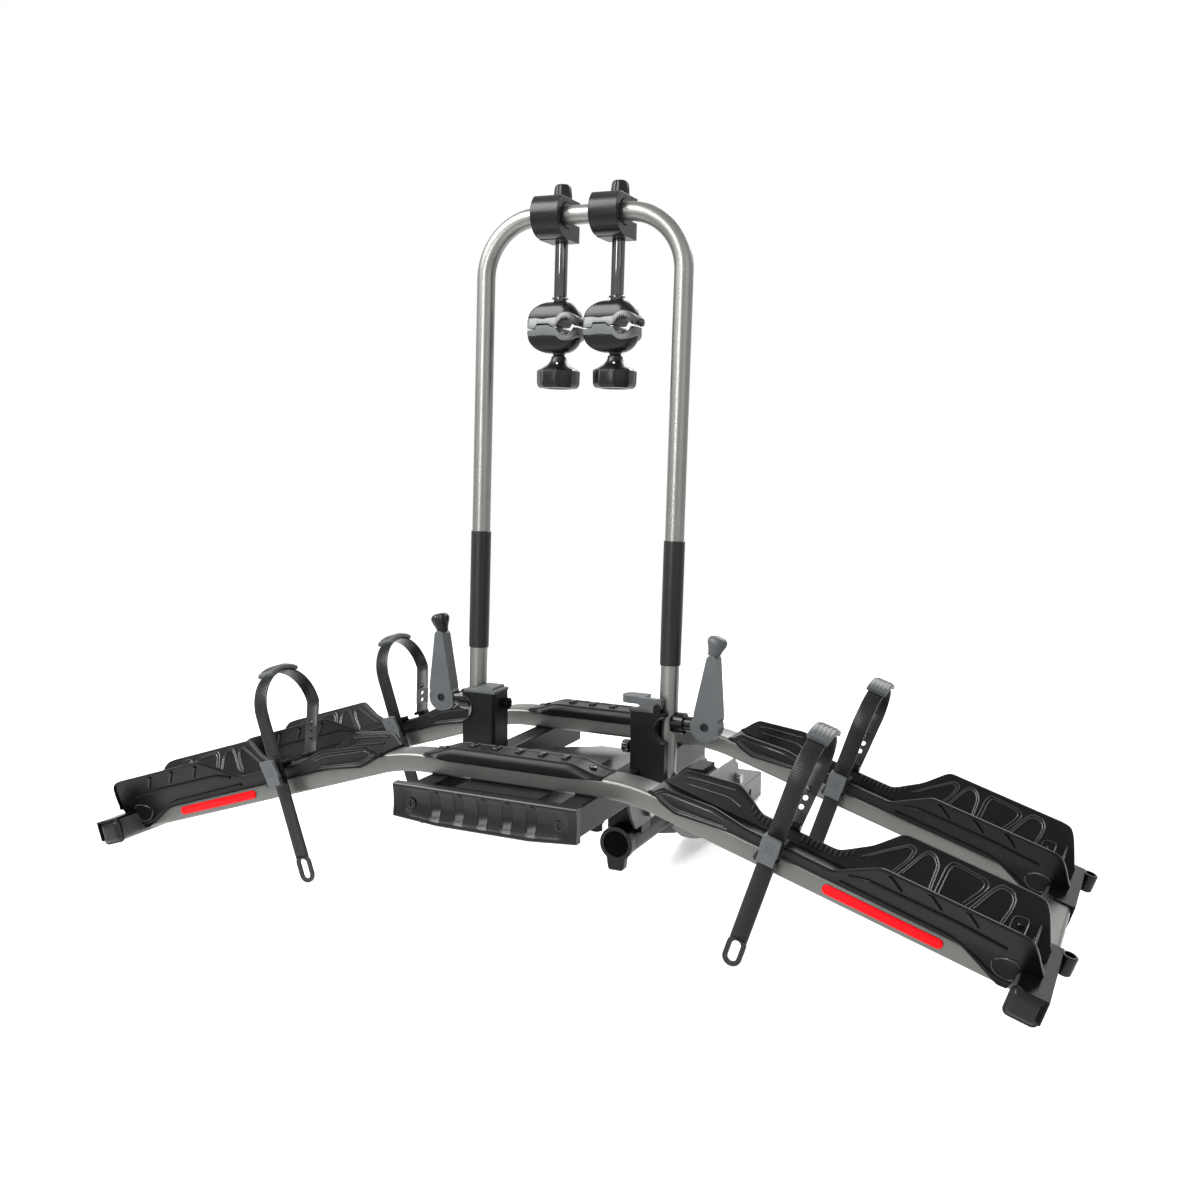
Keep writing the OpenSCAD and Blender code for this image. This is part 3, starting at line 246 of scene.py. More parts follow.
# mesh building: outlines and rings in millimetres, closed solids, then placed
class Shape:
    def __init__(self):
        self.verts = []
        self.faces = []

    def add(self, verts, faces, at=None):
        start = len(self.verts)
        self.verts += [(at @ Vector(v)) if at else Vector(v) for v in verts]
        self.faces += [[start + i for i in f] for f in faces]
        return self

    def loft(self, rings, at=None, loop=False):
        n, m = len(rings[0]), len(rings)
        verts = [p for ring in rings for p in ring]
        faces = [[i * n + j, i * n + (j + 1) % n, ((i + 1) % m) * n + (j + 1) % n, ((i + 1) % m) * n + j]
                 for i in range(m if loop else m - 1) for j in range(n)]
        if not loop:
            faces += [list(range(n))[::-1], [(m - 1) * n + j for j in range(n)]]
        return self.add(verts, faces, at)

    def prism(self, outline, low, high, axis):
        return self.loft([[onAxis(axis, a, b, t) for a, b in outline] for t in (low, high)])

    def turned(self, profile, count, at=None, radiusAt=None):
        rings = []
        for r, h in profile:
            ring = []
            for k in range(count):
                a = 2 * pi * k / count
                rr = radiusAt(a, r, h) if radiusAt else r
                ring.append((rr * cos(a), rr * sin(a), h))
            rings.append(ring)
        return self.loft(rings, at)


meshing = {"weld": 2e-6, "sliver": 1e-6, "flat": 0.4, "edgeAngle": 30, "weight": 60}


def cleaned(mesh):
    bm = bmesh.new()
    bm.from_mesh(mesh)
    bmesh.ops.remove_doubles(bm, verts=bm.verts, dist=meshing["weld"])
    bmesh.ops.dissolve_degenerate(bm, edges=bm.edges, dist=meshing["sliver"])
    bmesh.ops.recalc_face_normals(bm, faces=bm.faces)
    bm.to_mesh(mesh)
    bm.free()
    return mesh


def meshOf(name, shape, place=unmoved):
    mesh = bpy.data.meshes.new(name)
    mesh.from_pydata([(place @ v) * mm for v in shape.verts], [], shape.faces)
    return cleaned(mesh)


def baked(obj):
    graph = bpy.context.evaluated_depsgraph_get()
    mesh = bpy.data.meshes.new_from_object(obj.evaluated_get(graph))
    obj.modifiers.clear()
    obj.data = mesh
    return obj


def smoothed(obj, angle):
    obj.data.shade_smooth()
    obj.data.set_sharp_from_angle(angle=radians(angle))


def declared(obj, body, nodes):
    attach(obj, body)
    if nodes:
        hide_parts(*nodes)


def finished(obj, finish, body, nodes=(), bevel=0.0, segments=2, smooth=42):
    obj.data.materials.clear()
    obj.data.materials.append(finishes[finish])
    obj.data.shade_smooth()
    if bevel:
        mod = obj.modifiers.new("edges", "BEVEL")
        mod.width, mod.segments, mod.limit_method = bevel * mm, segments, "ANGLE"
        mod.angle_limit = radians(meshing["edgeAngle"])
        mod.harden_normals, mod.miter_outer = False, "MITER_ARC"
        baked(obj)
    smoothed(obj, smooth)
    if bevel:
        mod = obj.modifiers.new("shade", "WEIGHTED_NORMAL")
        mod.keep_sharp, mod.weight = True, meshing["weight"]
        baked(obj)
    declared(obj, body, nodes)


def piece(name, shape, place, finish, body, nodes=(), **edges):
    finished(linked(name, meshOf(name, shape, place)), finish, body, nodes, **edges)


# a modelled node copied, with its flat faces joined and its edges rounded
def refined(node, finish, body, bevel, **edges):
    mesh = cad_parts[node].data.copy()
    bm = bmesh.new()
    bm.from_mesh(mesh)
    bmesh.ops.remove_doubles(bm, verts=bm.verts, dist=meshing["weld"])
    flat = radians(meshing["flat"])
    bmesh.ops.dissolve_limit(bm, angle_limit=flat, verts=bm.verts, edges=bm.edges)
    bm.to_mesh(mesh)
    bm.free()
    for attribute in [a.name for a in mesh.attributes if a.name.startswith("custom_normal")]:
        mesh.attributes.remove(mesh.attributes[attribute])
    finished(linked("fine_" + node, mesh), finish, body, [node], bevel=bevel, **edges)


# geometry node trees: a section or a round swept along a path, and a solid set on points
def newTree(name, inputs):
    tree = bpy.data.node_groups.new(name, "GeometryNodeTree")
    tree.interface.new_socket("Geometry", in_out="INPUT", socket_type="NodeSocketGeometry")
    tree.interface.new_socket("Geometry", in_out="OUTPUT", socket_type="NodeSocketGeometry")
    for label, kind in {**inputs, "Material": "Material"}.items():
        tree.interface.new_socket(label, in_out="INPUT", socket_type="NodeSocket" + kind)
    source = tree.nodes.new("NodeGroupInput")
    labels = ("Geometry", *inputs, "Material")
    return Wire(tree), {label: Wire(tree, source.outputs[label]) for label in labels}


def closedTree(wire, given, made):
    real = wire.make("GeometryNodeRealizeInstances", None, {0: made})
    paint = wire.make("GeometryNodeSetMaterial", None, {"Geometry": real, "Material": given["Material"]})
    wire.make("NodeGroupOutput", None, {0: paint})
    return wire.tree


def swept(wire, path, section):
    sockets = {"Curve": path, "Profile Curve": section, "Fill Caps": True}
    return wire.make("GeometryNodeCurveToMesh", None, sockets)


def sectionTree():
    wire, given = newTree("sectionAlongPath", {"Width": "Float", "Height": "Float", "Corner": "Float"})
    path = wire.make("GeometryNodeMeshToCurve", None, {"Mesh": given["Geometry"]})
    path = wire.make("GeometryNodeSetCurveNormal", {"mode": "Z_UP"}, {"Curve": path})
    sizes = {"Width": given["Width"], "Height": given["Height"]}
    section = wire.make("GeometryNodeCurvePrimitiveQuadrilateral", None, sizes)
    rounding = {"Curve": section, "Radius": given["Corner"], "Count": 5}
    section = wire.make("GeometryNodeFilletCurve", {"mode": "POLY"}, rounding)
    return closedTree(wire, given, swept(wire, path, section))


def roundTree():
    wire, given = newTree("roundAlongPath", {"Radius": "Float", "Sides": "Int"})
    path = wire.make("GeometryNodeMeshToCurve", None, {"Mesh": given["Geometry"]})
    sizes = {"Radius": given["Radius"], "Resolution": given["Sides"]}
    section = wire.make("GeometryNodeCurvePrimitiveCircle", None, sizes)
    return closedTree(wire, given, swept(wire, path, section))


def rowTree():
    wire, given = newTree("solidOnPoints", {"Solid": "Object", "Scale": "Float"})
    original = {"transform_space": "ORIGINAL"}
    solid = wire.make("GeometryNodeObjectInfo", original, {"Object": given["Solid"]}, "Geometry")
    vectors = {"data_type": "FLOAT_VECTOR"}
    turn = wire.make("GeometryNodeInputNamedAttribute", vectors, {"Name": "turn"}, "Attribute")
    spin = wire.make("FunctionNodeEulerToRotation", None, {0: turn})
    sockets = {"Points": given["Geometry"], "Instance": solid, "Rotation": spin, "Scale": given["Scale"]}
    return closedTree(wire, given, wire.make("GeometryNodeInstanceOnPoints", None, sockets))


trees = {"section": sectionTree(), "round": roundTree(), "row": rowTree()}


def grown(name, tree, points, edges, values, finish, body, nodes=(), place=unmoved, turns=None, smooth=40):
    mesh = bpy.data.meshes.new(name)
    mesh.from_pydata([(place @ Vector(p)) * mm for p in points], edges, [])
    if turns:
        given = mesh.attributes.new("turn", "FLOAT_VECTOR", "POINT")
        for k, value in enumerate(turns):
            given.data[k].vector = value
    obj = linked(name, mesh)
    mod = obj.modifiers.new("grow", "NODES")
    mod.node_group = trees[tree]
    ids = {s.name: s.identifier for s in trees[tree].interface.items_tree if s.in_out == "INPUT"}
    for label, value in {**values, "Material": finishes[finish]}.items():
        mod[ids[label]] = value
    cleaned(baked(obj).data)
    smoothed(obj, smooth)
    declared(obj, body, nodes)


def pathEdges(count, start=0):
    return [(start + k, start + k + 1) for k in range(count - 1)]


# small solids that rowTree repeats, taken away again at the end
seeds = []


def seed(name, shape, bevel=0.0):
    obj = linked(name, meshOf(name, shape))
    if bevel:
        mod = obj.modifiers.new("edges", "BEVEL")
        mod.width, mod.segments = bevel * mm, 1
        baked(obj)
    obj.hide_render = obj.hide_viewport = True
    seeds.append(obj)
    return obj


# Euler angles of a repeated solid: the axes of the left wing are a mirror image, so they are mirrored back
def anglesOf(axes, side):
    return tuple((axes @ Matrix.Diagonal((side, 1, 1))).to_euler())


def roundedPath(points, radius, steps=5):
    made = [Vector(points[0])]
    for before, here, after in zip(points, points[1:], points[2:]):
        a, b, c = Vector(before), Vector(here), Vector(after)
        cut = min(radius, (a - b).length * 0.45, (c - b).length * 0.45)
        first, last = b + (a - b).normalized() * cut, b + (c - b).normalized() * cut
        for k in range(steps + 1):
            t = k / steps
            made.append((1 - t) ** 2 * first + 2 * t * (1 - t) * b + t * t * last)
    made.append(Vector(points[-1]))
    return made


def roundRect(w, h, r, steps=5, cx=0, cy=0):
    made = []
    for sx, sy, start in ((1, 1, 0), (-1, 1, 90), (-1, -1, 180), (1, -1, 270)):
        for k in range(steps + 1):
            a = radians(start + 90 * k / steps)
            made.append((cx + sx * (w / 2 - r) + r * cos(a), cy + sy * (h / 2 - r) + r * sin(a)))
    return made


def boxShape(low, high):
    (x0, y0, z0), (x1, y1, z1) = low, high
    return Shape().prism([(x0, y0), (x1, y0), (x1, y1), (x0, y1)], z0, z1, "z")


def along(axis, centre=(0, 0, 0)):
    turns = {"x": spun(90, "Y"), "-x": spun(-90, "Y"), "y": spun(-90, "X"), "-y": spun(90, "X")}
    return moved(*centre) @ turns[axis]


def ringOf(loopA, loopB, low, high, axis):
    loops = ((loopA, low), (loopA, high), (loopB, high), (loopB, low))
    return Shape().loft([[onAxis(axis, a, b, t) for a, b in loop] for loop, t in loops], loop=True)


# rails: one rounded tube section swept along the bent line
rail = {"width": 45, "height": 25, "corner": 4.5, "bendRadius": 208, "bendSteps": 18, "wing": 481}


def railPath(y):
    angle = radians(places["droop"])
    middle = rail["height"] / 2
    bendX = places["wingStart"] - rail["bendRadius"] * tan(angle / 2)
    half = []
    for k in range(rail["bendSteps"] + 1):
        a = angle * k / rail["bendSteps"]
        r = rail["bendRadius"] + middle
        half.append((bendX + r * sin(a), y, r * cos(a) - rail["bendRadius"]))
    end = rail["wing"]
    half.append((places["wingStart"] + end * cos(angle) + middle * sin(angle), y,
                 middle * cos(angle) - end * sin(angle)))
    return [(-x, yy, z) for x, yy, z in reversed(half)] + half


for row, y in rows.items():
    path = railPath(y)
    sizes = {"Width": rail["width"] * mm, "Height": rail["height"] * mm, "Corner": rail["corner"] * mm}
    grown("rail_tube_" + row, "section", path, pathEdges(len(path)), sizes, "railSilver", "platform",
          ["rail_" + row], platform, smooth=50)

# end bars with crowned caps
endBar = {"width": 36, "height": 32, "length": 420, "corner": 6, "low": -5,
          "crown": ((0, 1.2), (1.2, 1.9), (3.2, 1.9), (4.4, 1.2), (5.0, -1.4), (5.3, -2.4), (6.6, -3.4),
                    (7.6, -5.2), (8, -8.5))}
barMid = rail["wing"] + endBar["width"] / 2
barHeight = endBar["low"] + endBar["height"] / 2
bars, caps = Shape(), Shape()
for side in sides.values():
    at = wing(side)
    sectionRing = roundRect(endBar["width"], endBar["height"], endBar["corner"])
    ends = (-endBar["length"] / 2, endBar["length"] / 2)
    bars.loft([[(barMid + a, y, barHeight + b) for a, b in sectionRing] for y in ends], at)
    for end in (-1, 1):
        rings = []
        for out, grow in endBar["crown"]:
            corner = max(endBar["corner"] + grow, 2.2)
            ring = roundRect(endBar["width"] + 2 * grow, endBar["height"] + 2 * grow, corner)
            rings.append([(barMid + a, end * (endBar["length"] / 2 + out), barHeight + b) for a, b in ring])
        caps.loft(rings, at)
piece("end_bar_tubes", bars, unmoved, "railSilver", "platform", ["end_bars"], bevel=0.6, smooth=50)
piece("end_bar_caps", caps, unmoved, "satinBlack", "platform", ["end_caps"], smooth=38)
print("stage: rails and end bars")

# frame, neck, beam, clevis and shank: the modelled shapes with rounded edges
for node, finish, body, width in (
        ("shank", "hitchGrey", "hitch_mount", 1.6), ("clevis_left", "hitchGrey", "hitch_mount", 1.2),
        ("clevis_right", "hitchGrey", "hitch_mount", 1.2), ("fold_bolt", "zinc", "hitch_mount", 0.8),
        ("fold_pin", "zinc", "lock_pin", 0.9), ("beam", "powderBlack", "beam_arm", 1.0),
        ("base_frame", "powderBlack", "platform", 2.2), ("neck", "satinBlack", "platform", 1.8),
        ("pivot_bolts", "zinc", "platform", 0.9), ("post_left", "powderBlack", "platform", 1.3),
        ("post_right", "powderBlack", "platform", 1.3), ("post_cap", "leverGrey", "platform", 1.6),
        ("feet", "footRubber", "platform", 1.2), ("beam_cap", "satinBlack", "beam_arm", 1.0),
        ("release_handle", "leverGrey", "handle", 1.8), ("plate_screws", "glossBlack", "platform", 0.4),
        ("cam_bolts", "glossBlack", "hoop_frame", 0.8)):
    refined(node, finish, body, bevel=width)
# a dark disc at the bottom of the beam cap stands for the shade in its hollow: painted shade
capShadeDisc = {"profile": [(0, 0), (20.2, 0), (20.2, 0.8), (0, 0.8)], "place": (0, -572.6, 70)}
hollow = Shape().turned(capShadeDisc["profile"], 48, along("-y", capShadeDisc["place"]))
piece("beam_cap_hollow", hollow, unmoved, "paintedShadeBlack", "beam_arm")
print("stage: frame pieces")

# step plate: a concave front with five wedge notches
step = {"half": 130, "front": -240, "back": -228, "top": 6, "low": -38, "sag": 5, "pitch": 34, "notch": 4.6,
        "notchHalf": 8, "notchFrom": 0.12, "notchTo": 0.94, "wedge": 0.55, "shut": 0.8, "hollow": 5.0,
        "bowlFrom": 0.1, "bowlTall": 0.8, "endFlat": 12, "endFade": 14, "endShare": 0.35, "columns": 260,
        "levels": 36, "seatX": 105, "seatZ": 19, "seatRadius": 8, "seatEdge": 1.5, "seatDepth": 3.2}


def stepLow(x):
    return step["low"] - step["sag"] * min(1, max(0, (step["half"] - abs(x)) / (step["half"] / 2)))


def stepFront(x, t):
    bowl = sin(pi * min(1, max(0, (t - step["bowlFrom"]) / step["bowlTall"]))) ** 0.7
    fade = min(1, max(0, (step["half"] - step["endFlat"] - abs(x)) / step["endFade"]))
    y = step["front"] + step["hollow"] * bowl * (step["endShare"] + (1 - step["endShare"]) * fade)
    nearest = round(x / step["pitch"])
    low, top, wedge, shut = (step[k] for k in ("notchFrom", "notchTo", "wedge", "shut"))
    if abs(nearest) <= 2 and low < t < top:
        u = (x - nearest * step["pitch"]) / step["notchHalf"]
        tall = sin(pi * (t - low) / (top - low)) ** 0.5
        if -1 < u < wedge:
            y += step["notch"] * tall * (0.25 + 0.75 * (u + 1) / (wedge + 1))
        elif wedge <= u < shut:
            y += step["notch"] * tall * (shut - u) / (shut - wedge)
    spot = hypot(abs(x) - step["seatX"], step["low"] + t * (step["top"] - step["low"]) + step["seatZ"])
    outside = (step["seatRadius"] + step["seatEdge"] - spot) / step["seatEdge"]
    if outside > 0:
        y = max(y, step["front"] + step["seatDepth"] * min(1, outside))
    return y


rings = []
for i in range(step["columns"] + 1):
    x = -step["half"] + 2 * step["half"] * i / step["columns"]
    low = stepLow(x)
    ring = [(x, step["back"], low), (x, step["front"] + 1.5, low)]
    for k in range(step["levels"] + 1):
        t = k / step["levels"]
        edge = 1.2 if k in (0, step["levels"]) else 0
        ring.append((x, stepFront(x, t) + edge, low + t * (step["top"] - low)))
    rings.append(ring + [(x, step["back"], step["top"])])
piece("step_plate", Shape().loft(rings), platform, "satinBlack", "platform", ["front_plate"], smooth=34)

# covers over the middle of the rails
cover = {"half": 129, "flat": 80, "top": 39, "tip": 27.5, "side": 25.8, "shoulder": 19.5, "skirt": 21, "pitch": 33.5,
         "tipSkirt": 24.2, "inside": 25, "steps": 43, "bumpY": 5, "screwX": 108, "screwZ": 32.3, "screwLean": 0.3}


def coverRing(x):
    reach = min(1, max(0, (cover["half"] - abs(x)) / (cover["half"] - cover["flat"])))
    top = cover["tip"] + (cover["top"] - cover["tip"]) * (reach * reach * (3 - 2 * reach))
    low = cover["tipSkirt"] - (cover["tipSkirt"] - cover["skirt"]) * min(1, reach * 1.3)
    side, shoulder = cover["side"], cover["shoulder"]
    half = [(side - 3, low), (side - 0.6, low), (side, low + 0.8), (side, max(low + 1, top - 9.5)),
            (side - 0.5, max(low + 1.2, top - 7.6)), (side - 3.2, top - 2.6), (shoulder + 0.6, top - 0.3),
            (shoulder - 1.6, top), (shoulder - 4.2, top - 0.2), (shoulder - 5, top - 1.1), (0, top - 1.1)]
    other = [(-y, z) for y, z in reversed(half[:-1])]
    return [(x, y, z) for y, z in half + other + [(-side + 3, cover["inside"]), (side - 3, cover["inside"])]]


bump = seed("bumpSeed", Shape().loft([[(a * w, b * w, h) for a, b in roundRect(9, 15, 2.2)]
                                      for w, h in ((1.0, -1), (1.0, 1.6), (0.93, 2.6), (0.8, 3.2))]))
screwProfile = [(0, -3), (5.2, -3), (5.2, 0.6), (4.4, 1.6), (2.2, 1.9), (1.6, 0.8), (0, 0.6)]
for row, y in rows.items():
    half, steps = cover["half"], cover["steps"]
    shell = Shape().loft([coverRing(-half + half * k / steps) for k in range(2 * steps + 1)])
    place = platform @ moved(0, y, 0)
    piece("cover_shell_" + row, shell, place, "mouldedBlack", "platform", ["cover_" + row], smooth=36)
    spots = [(i * cover["pitch"], cover["bumpY"], cover["top"] - 1.2) for i in range(-2, 3)]
    grown("cover_bumps_" + row, "row", spots, [], {"Solid": bump, "Scale": 1.0}, "satinBlack", "platform", (), place)
    screws = Shape()
    for side in sides.values():
        at = moved(side * cover["screwX"], 0, cover["screwZ"]) @ Matrix.Rotation(side * cover["screwLean"], 4, "Y")
        screws.turned(screwProfile, 24, at)
    piece("cover_screws_" + row, screws, place, "glossBlack", "platform", smooth=35)
print("stage: step plate and covers")

# wheel trays: a lofted trough, raised beads, teeth, end wall, shelf and boss,
# with lines drawn as (distance along the wing, height)
tray = {"wall": 3.0, "spread": 0.575, "foot": 27.0, "side": 25.8, "floor": 28.0, "slot": 22.8, "rim": 2.4,
        "from": 22, "to": 506, "stations": 150, "wallSteps": 8, "under": 25, "beadOut": 0.2}
nearTop = [(28, 29), (36, 43), (109, 51), (134, 46), (150, 43), (261, 43), (284, 60), (311, 80), (471, 80),
           (484, 77), (492, 66), (507, 36)]
farTop = [(20, 25), (38, 48), (109, 59), (130, 50), (149, 40), (250, 40), (284, 60), (311, 85), (471, 85),
          (484, 83), (492, 70), (507, 36)]
lowEdge = [(20, 25), (28, 27), (40, 20), (60, 15), (132, 25), (400, 25), (415, 25), (466, 1), (480.7, 2),
           (480.8, 27), (507, 27)]


# height of a line at x, averaged over its neighbourhood so that corners come out round
def eased(points, x, soft=7.0):
    total, weight = 0.0, 0.0
    for k in range(-4, 5):
        t = x + k * soft / 4
        w = 5 - abs(k)
        t = min(max(t, points[0][0]), points[-1][0])
        for (x0, z0), (x1, z1) in zip(points, points[1:]):
            if x0 <= t <= x1:
                total += w * (z0 + (z1 - z0) * (t - x0) / (x1 - x0))
                weight += w
                break
    return total / weight


def wallOut(n):
    return tray["side"] + max(n - tray["foot"], 0) * tray["spread"]


def traySection(s):
    near, far = eased(nearTop, s), eased(farTop, s)
    under, steps = tray["under"], tray["wallSteps"]
    low = min(eased(lowEdge, s, 3.0), under)
    t, foot, rim = tray["wall"], tray["foot"], tray["rim"]

    def wall(top, sign):
        made = [(tray["side"], low), (tray["side"], min(foot, max(low, 20)))]
        top = max(top, foot + 2.5)
        for k in range(1, steps + 1):
            n = foot + (top - 3.6 - foot) * k / steps
            made.append((wallOut(n), n))
        edge = wallOut(top)
        made += [(edge + rim * 0.7, top - 3.4), (edge + rim, top - 2.2), (edge + rim, top - 1.0),
                 (edge + rim * 0.5, top), (edge - t + 0.6, top), (edge - t - 0.1, top - 0.8)]
        for k in range(steps, -1, -1):
            n = tray["floor"] + (top - 2 - tray["floor"]) * k / steps
            made.append((wallOut(n) - t, n))
        return [(sign * y, n) for y, n in made]

    slot = [(tray["slot"], low), (tray["slot"], under), (-tray["slot"], under), (-tray["slot"], low)]
    return [(s, y, n) for y, n in wall(near, -1) + wall(far, 1)[::-1] + slot]


span = tray["to"] - tray["from"]
stations = {round(tray["from"] + span * k / tray["stations"], 3) for k in range(tray["stations"] + 1)}
stations = sorted(stations | {466.0, 480.7, 480.8})

farLines = [
    [(276, 45), (300, 63), (322, 78), (331, 76), (329, 64), (316, 42)],
    [(322, 44), (338, 74), (344, 80), (353, 79), (361, 71), (363, 38)],
    [(367, 38), (368, 72), (372, 80), (382, 80), (414, 78), (420, 73), (417, 65), (402, 42)],
    [(408, 42), (424, 72), (431, 80), (446, 79), (452, 72), (452, 60), (446, 36)],
    [(456, 38), (456, 58), (474, 60), (474, 38)],
    [(46, 42), (58, 45), (104, 51), (108, 52)],
    [(52, 36), (104, 42), (122, 38)],
]
nearLines = [
    [(279, 45), (300, 52), (408, 53), (462, 49)], [(322, 73), (338, 59)], [(368, 74), (384, 60)],
    [(411, 74), (426, 60)], [(270, 31), (400, 30), (416, 27), (458, 9), (478, 9)],
]
tipLines = [
    [(452, 27), (462, 36), (476, 38), (481, 33)], [(452, 27), (454, 18), (462, 12), (474, 11), (480, 14)],
    [(31, 30), (44, 24), (62, 19), (128, 28)], [(31, 31), (40, 40), (107, 47), (130, 43)],
    [(36, 31), (46, 26), (62, 22), (124, 30)], [(36, 32), (43, 37), (107, 43), (128, 40)],
]
insideNear = [[(300, 44), (440, 44)], [(60, 36), (104, 42)]]


def inset(line, share=0.82):
    cs, cn = (sum(p[k] for p in line) / len(line) for k in (0, 1))
    return [(cs + (s - cs) * share, cn + (n - cn) * share) for s, n in line]


def beadPath(line, sign, inside):
    points = []
    for s, _, n in roundedPath([(s, 0, n) for s, n in line], 6):
        out = wallOut(n) - (tray["wall"] if inside else 0)
        points.append((s, sign * (out + (-tray["beadOut"] if inside else tray["beadOut"])), n))
    return points


# lines drawn on the walls: radius, finish, and groups of lines with their wall and face
wallLines = {
    # the beads' lighter black is a painted highlight
    "beads": (1.25, "paintedHighlightBlack", ((farLines + [inset(line) for line in farLines[:4]], 1, True),
                                  (tipLines, -1, False))),
    "ribs": (2.3, "mouldedBlack", ((nearLines, -1, False), (insideNear, -1, True))),
}
teethAt = {"rows": ((136, 176), (206, 272)), "pitch": 6, "drop": 4.5}
trayEnd = {"from": 484, "to": 487, "panelFrom": 482.6, "panelTo": 485,
           "half": [(-30, 66), (30, 66)], "panel": [(-12, 34), (-9, 58), (9, 58), (12, 34)]}
shelfPlan = {"from": 484, "corner": 492, "to": 520.3, "front": -72, "back": 82, "cut": 6, "backCut": 8,
             "low": 27, "top": 30, "skirt": 3, "skirtLow": 0.5, "skirtTop": 29}
boss = {"s": 527.3, "y": 70, "radius": 10, "bore": 6.5, "low": 8, "top": 30, "deep": 16, "rivetS": 466, "rivetN": 50,
        "rivetIn": 3.4, "rivet": [(0, -1), (4, -1), (4, 0.6), (2.8, 1.8), (0, 2.2)]}
tooth = seed("toothSeed", boxShape((-1.5, -1.6, -4), (1.5, 1.6, 4)), bevel=0.6)

for label, (side, rowY) in corners.items():
    place = wing(side, rowY)
    trough = Shape().loft([traySection(s) for s in stations])
    piece("tray_trough_" + label, trough, place, "mouldedBlack", "platform", ["tray_" + label], smooth=40)
    for kind, (radius, finish, groups) in wallLines.items():
        points, edges = [], []
        for lines, sign, inside in groups:
            for line in lines:
                path = beadPath(line, sign, inside)
                edges += pathEdges(len(path), len(points))
                points += path
        sizes = {"Radius": radius * mm, "Sides": 8}
        grown("tray_" + kind + "_" + label, "round", points, edges, sizes, finish, "platform", (), place)

    spots, turns = [], []
    slope = atan(tray["spread"])
    for s in [s for span in teethAt["rows"] for s in range(*span, teethAt["pitch"])]:
        for sign, line in ((-1, nearTop), (1, farTop)):
            n = eased(line, s) - teethAt["drop"]
            spots.append((s, sign * (wallOut(n) - tray["wall"] - 0.1), n))
            leaned = place.to_3x3().normalized() @ Matrix.Rotation(-sign * slope, 3, "X")
            turns.append(anglesOf(leaned, side))
    values = {"Solid": tooth, "Scale": 1.0}
    grown("tray_teeth_" + label, "row", spots, [], values, "satinBlack", "platform", (), place, turns)

    farHalf = [(wallOut(62) - 1.6, 62), (wallOut(40) - 1.4, 40), (wallOut(27) - 1, 27)]
    outline = [(-y, n) for y, n in reversed(farHalf)] + trayEnd["half"] + farHalf
    ends = Shape().prism(outline, trayEnd["from"], trayEnd["to"], "x")
    ends.prism(trayEnd["panel"], trayEnd["panelFrom"], trayEnd["panelTo"], "x")
    piece("tray_end_" + label, ends, place, "mouldedBlack", "platform", bevel=0.9)

    x0, x1, y0, y1 = (shelfPlan[k] for k in ("from", "to", "front", "back"))
    outline = [(x0, y0 + shelfPlan["cut"]), (shelfPlan["corner"], y0), (x1, y0), (x1, y1),
               (shelfPlan["corner"], y1), (x0, y1 - shelfPlan["backCut"])]
    shelf = Shape().prism(outline, shelfPlan["low"], shelfPlan["top"], "z")
    inner = x1 - shelfPlan["skirt"]
    skirt = [(inner, y0), (x1, y0), (x1, y1), (inner, y1)]
    shelf.prism(skirt, shelfPlan["skirtLow"], shelfPlan["skirtTop"], "z")
    piece("tray_shelf_" + label, shelf, place, "mouldedBlack", "platform", bevel=1.0)

    bore, radius, low, top = (boss[k] for k in ("bore", "radius", "low", "top"))
    profile = [(bore, top - boss["deep"]), (bore, top + 1), (radius - 1.2, top + 1), (radius, top),
               (radius - 0.4, low), (radius - 2, low - 1.5), (0.01, low - 1.5), (0.01, top - boss["deep"])]
    tube = Shape().turned(profile, 40, moved(boss["s"], boss["y"], 0))
    rivetY = wallOut(boss["rivetN"]) - boss["rivetIn"]
    tube.turned(boss["rivet"], 20, moved(boss["rivetS"], rivetY, boss["rivetN"]) @ along("-y"))
    piece("tray_boss_" + label, tube, place, "satinBlack", "platform", smooth=35)
print("stage: wheel trays")

# reflectors on the front rail: a crowned long lens
reflector = {"width": 146, "height": 12, "corner": 5.99, "x": 327, "z": 13, "out": 22.5,
             "crown": ((0, 0), (1.4, 0), (2.2, -0.6), (2.6, -1.8))}
lens = Shape()
for side in sides.values():
    rings = []
    for out, grow in reflector["crown"]:
        ring = roundRect(reflector["width"] + 2 * grow, reflector["height"] + 2 * grow, reflector["corner"] + grow, 8,
                         reflector["x"], reflector["z"])
        rings.append([(a, rows["front"] - reflector["out"] - out, b) for a, b in ring])
    lens.loft(rings, wing(side))
piece("reflector_lenses", lens, unmoved, "reflectorRed", "platform", ["reflectors"], smooth=40)

# hoop and its grip sleeves
hoop = {"leg": 147.6, "radius": 12.7, "bend": 80, "bendSteps": 28, "sleeveFrom": 155, "sleeve": 166,
        "sleeveRadius": 14.2, "sleeveBore": 12.75,
        "foot": [(0, -12.6), (5, -11.6), (9.2, -8.8), (12, -4), (12.68, 0), (12.68, 3), (0, 3)]}
bendX, bendZ = hoop["leg"] - hoop["bend"], places["hoopLength"] - hoop["bend"]
half = [(hoop["leg"], 0, -2), (hoop["leg"], 0, bendZ)]
for k in range(1, hoop["bendSteps"] + 1):
    a = pi / 2 * k / hoop["bendSteps"]
    half.append((bendX + hoop["bend"] * cos(a), 0, bendZ + hoop["bend"] * sin(a)))
path = half + [(-x, y, z) for x, y, z in reversed(half)]
sizes = {"Radius": hoop["radius"] * mm, "Sides": 56}
grown("hoop_tube", "round", path, pathEdges(len(path)), sizes, "hoopSilver", "hoop_frame", ["hoop"], hoopPlace,
      smooth=60)
grips, feetEnds = Shape(), Shape()
r, bore, z0 = hoop["sleeveRadius"], hoop["sleeveBore"], hoop["sleeveFrom"]
z1 = z0 + hoop["sleeve"]
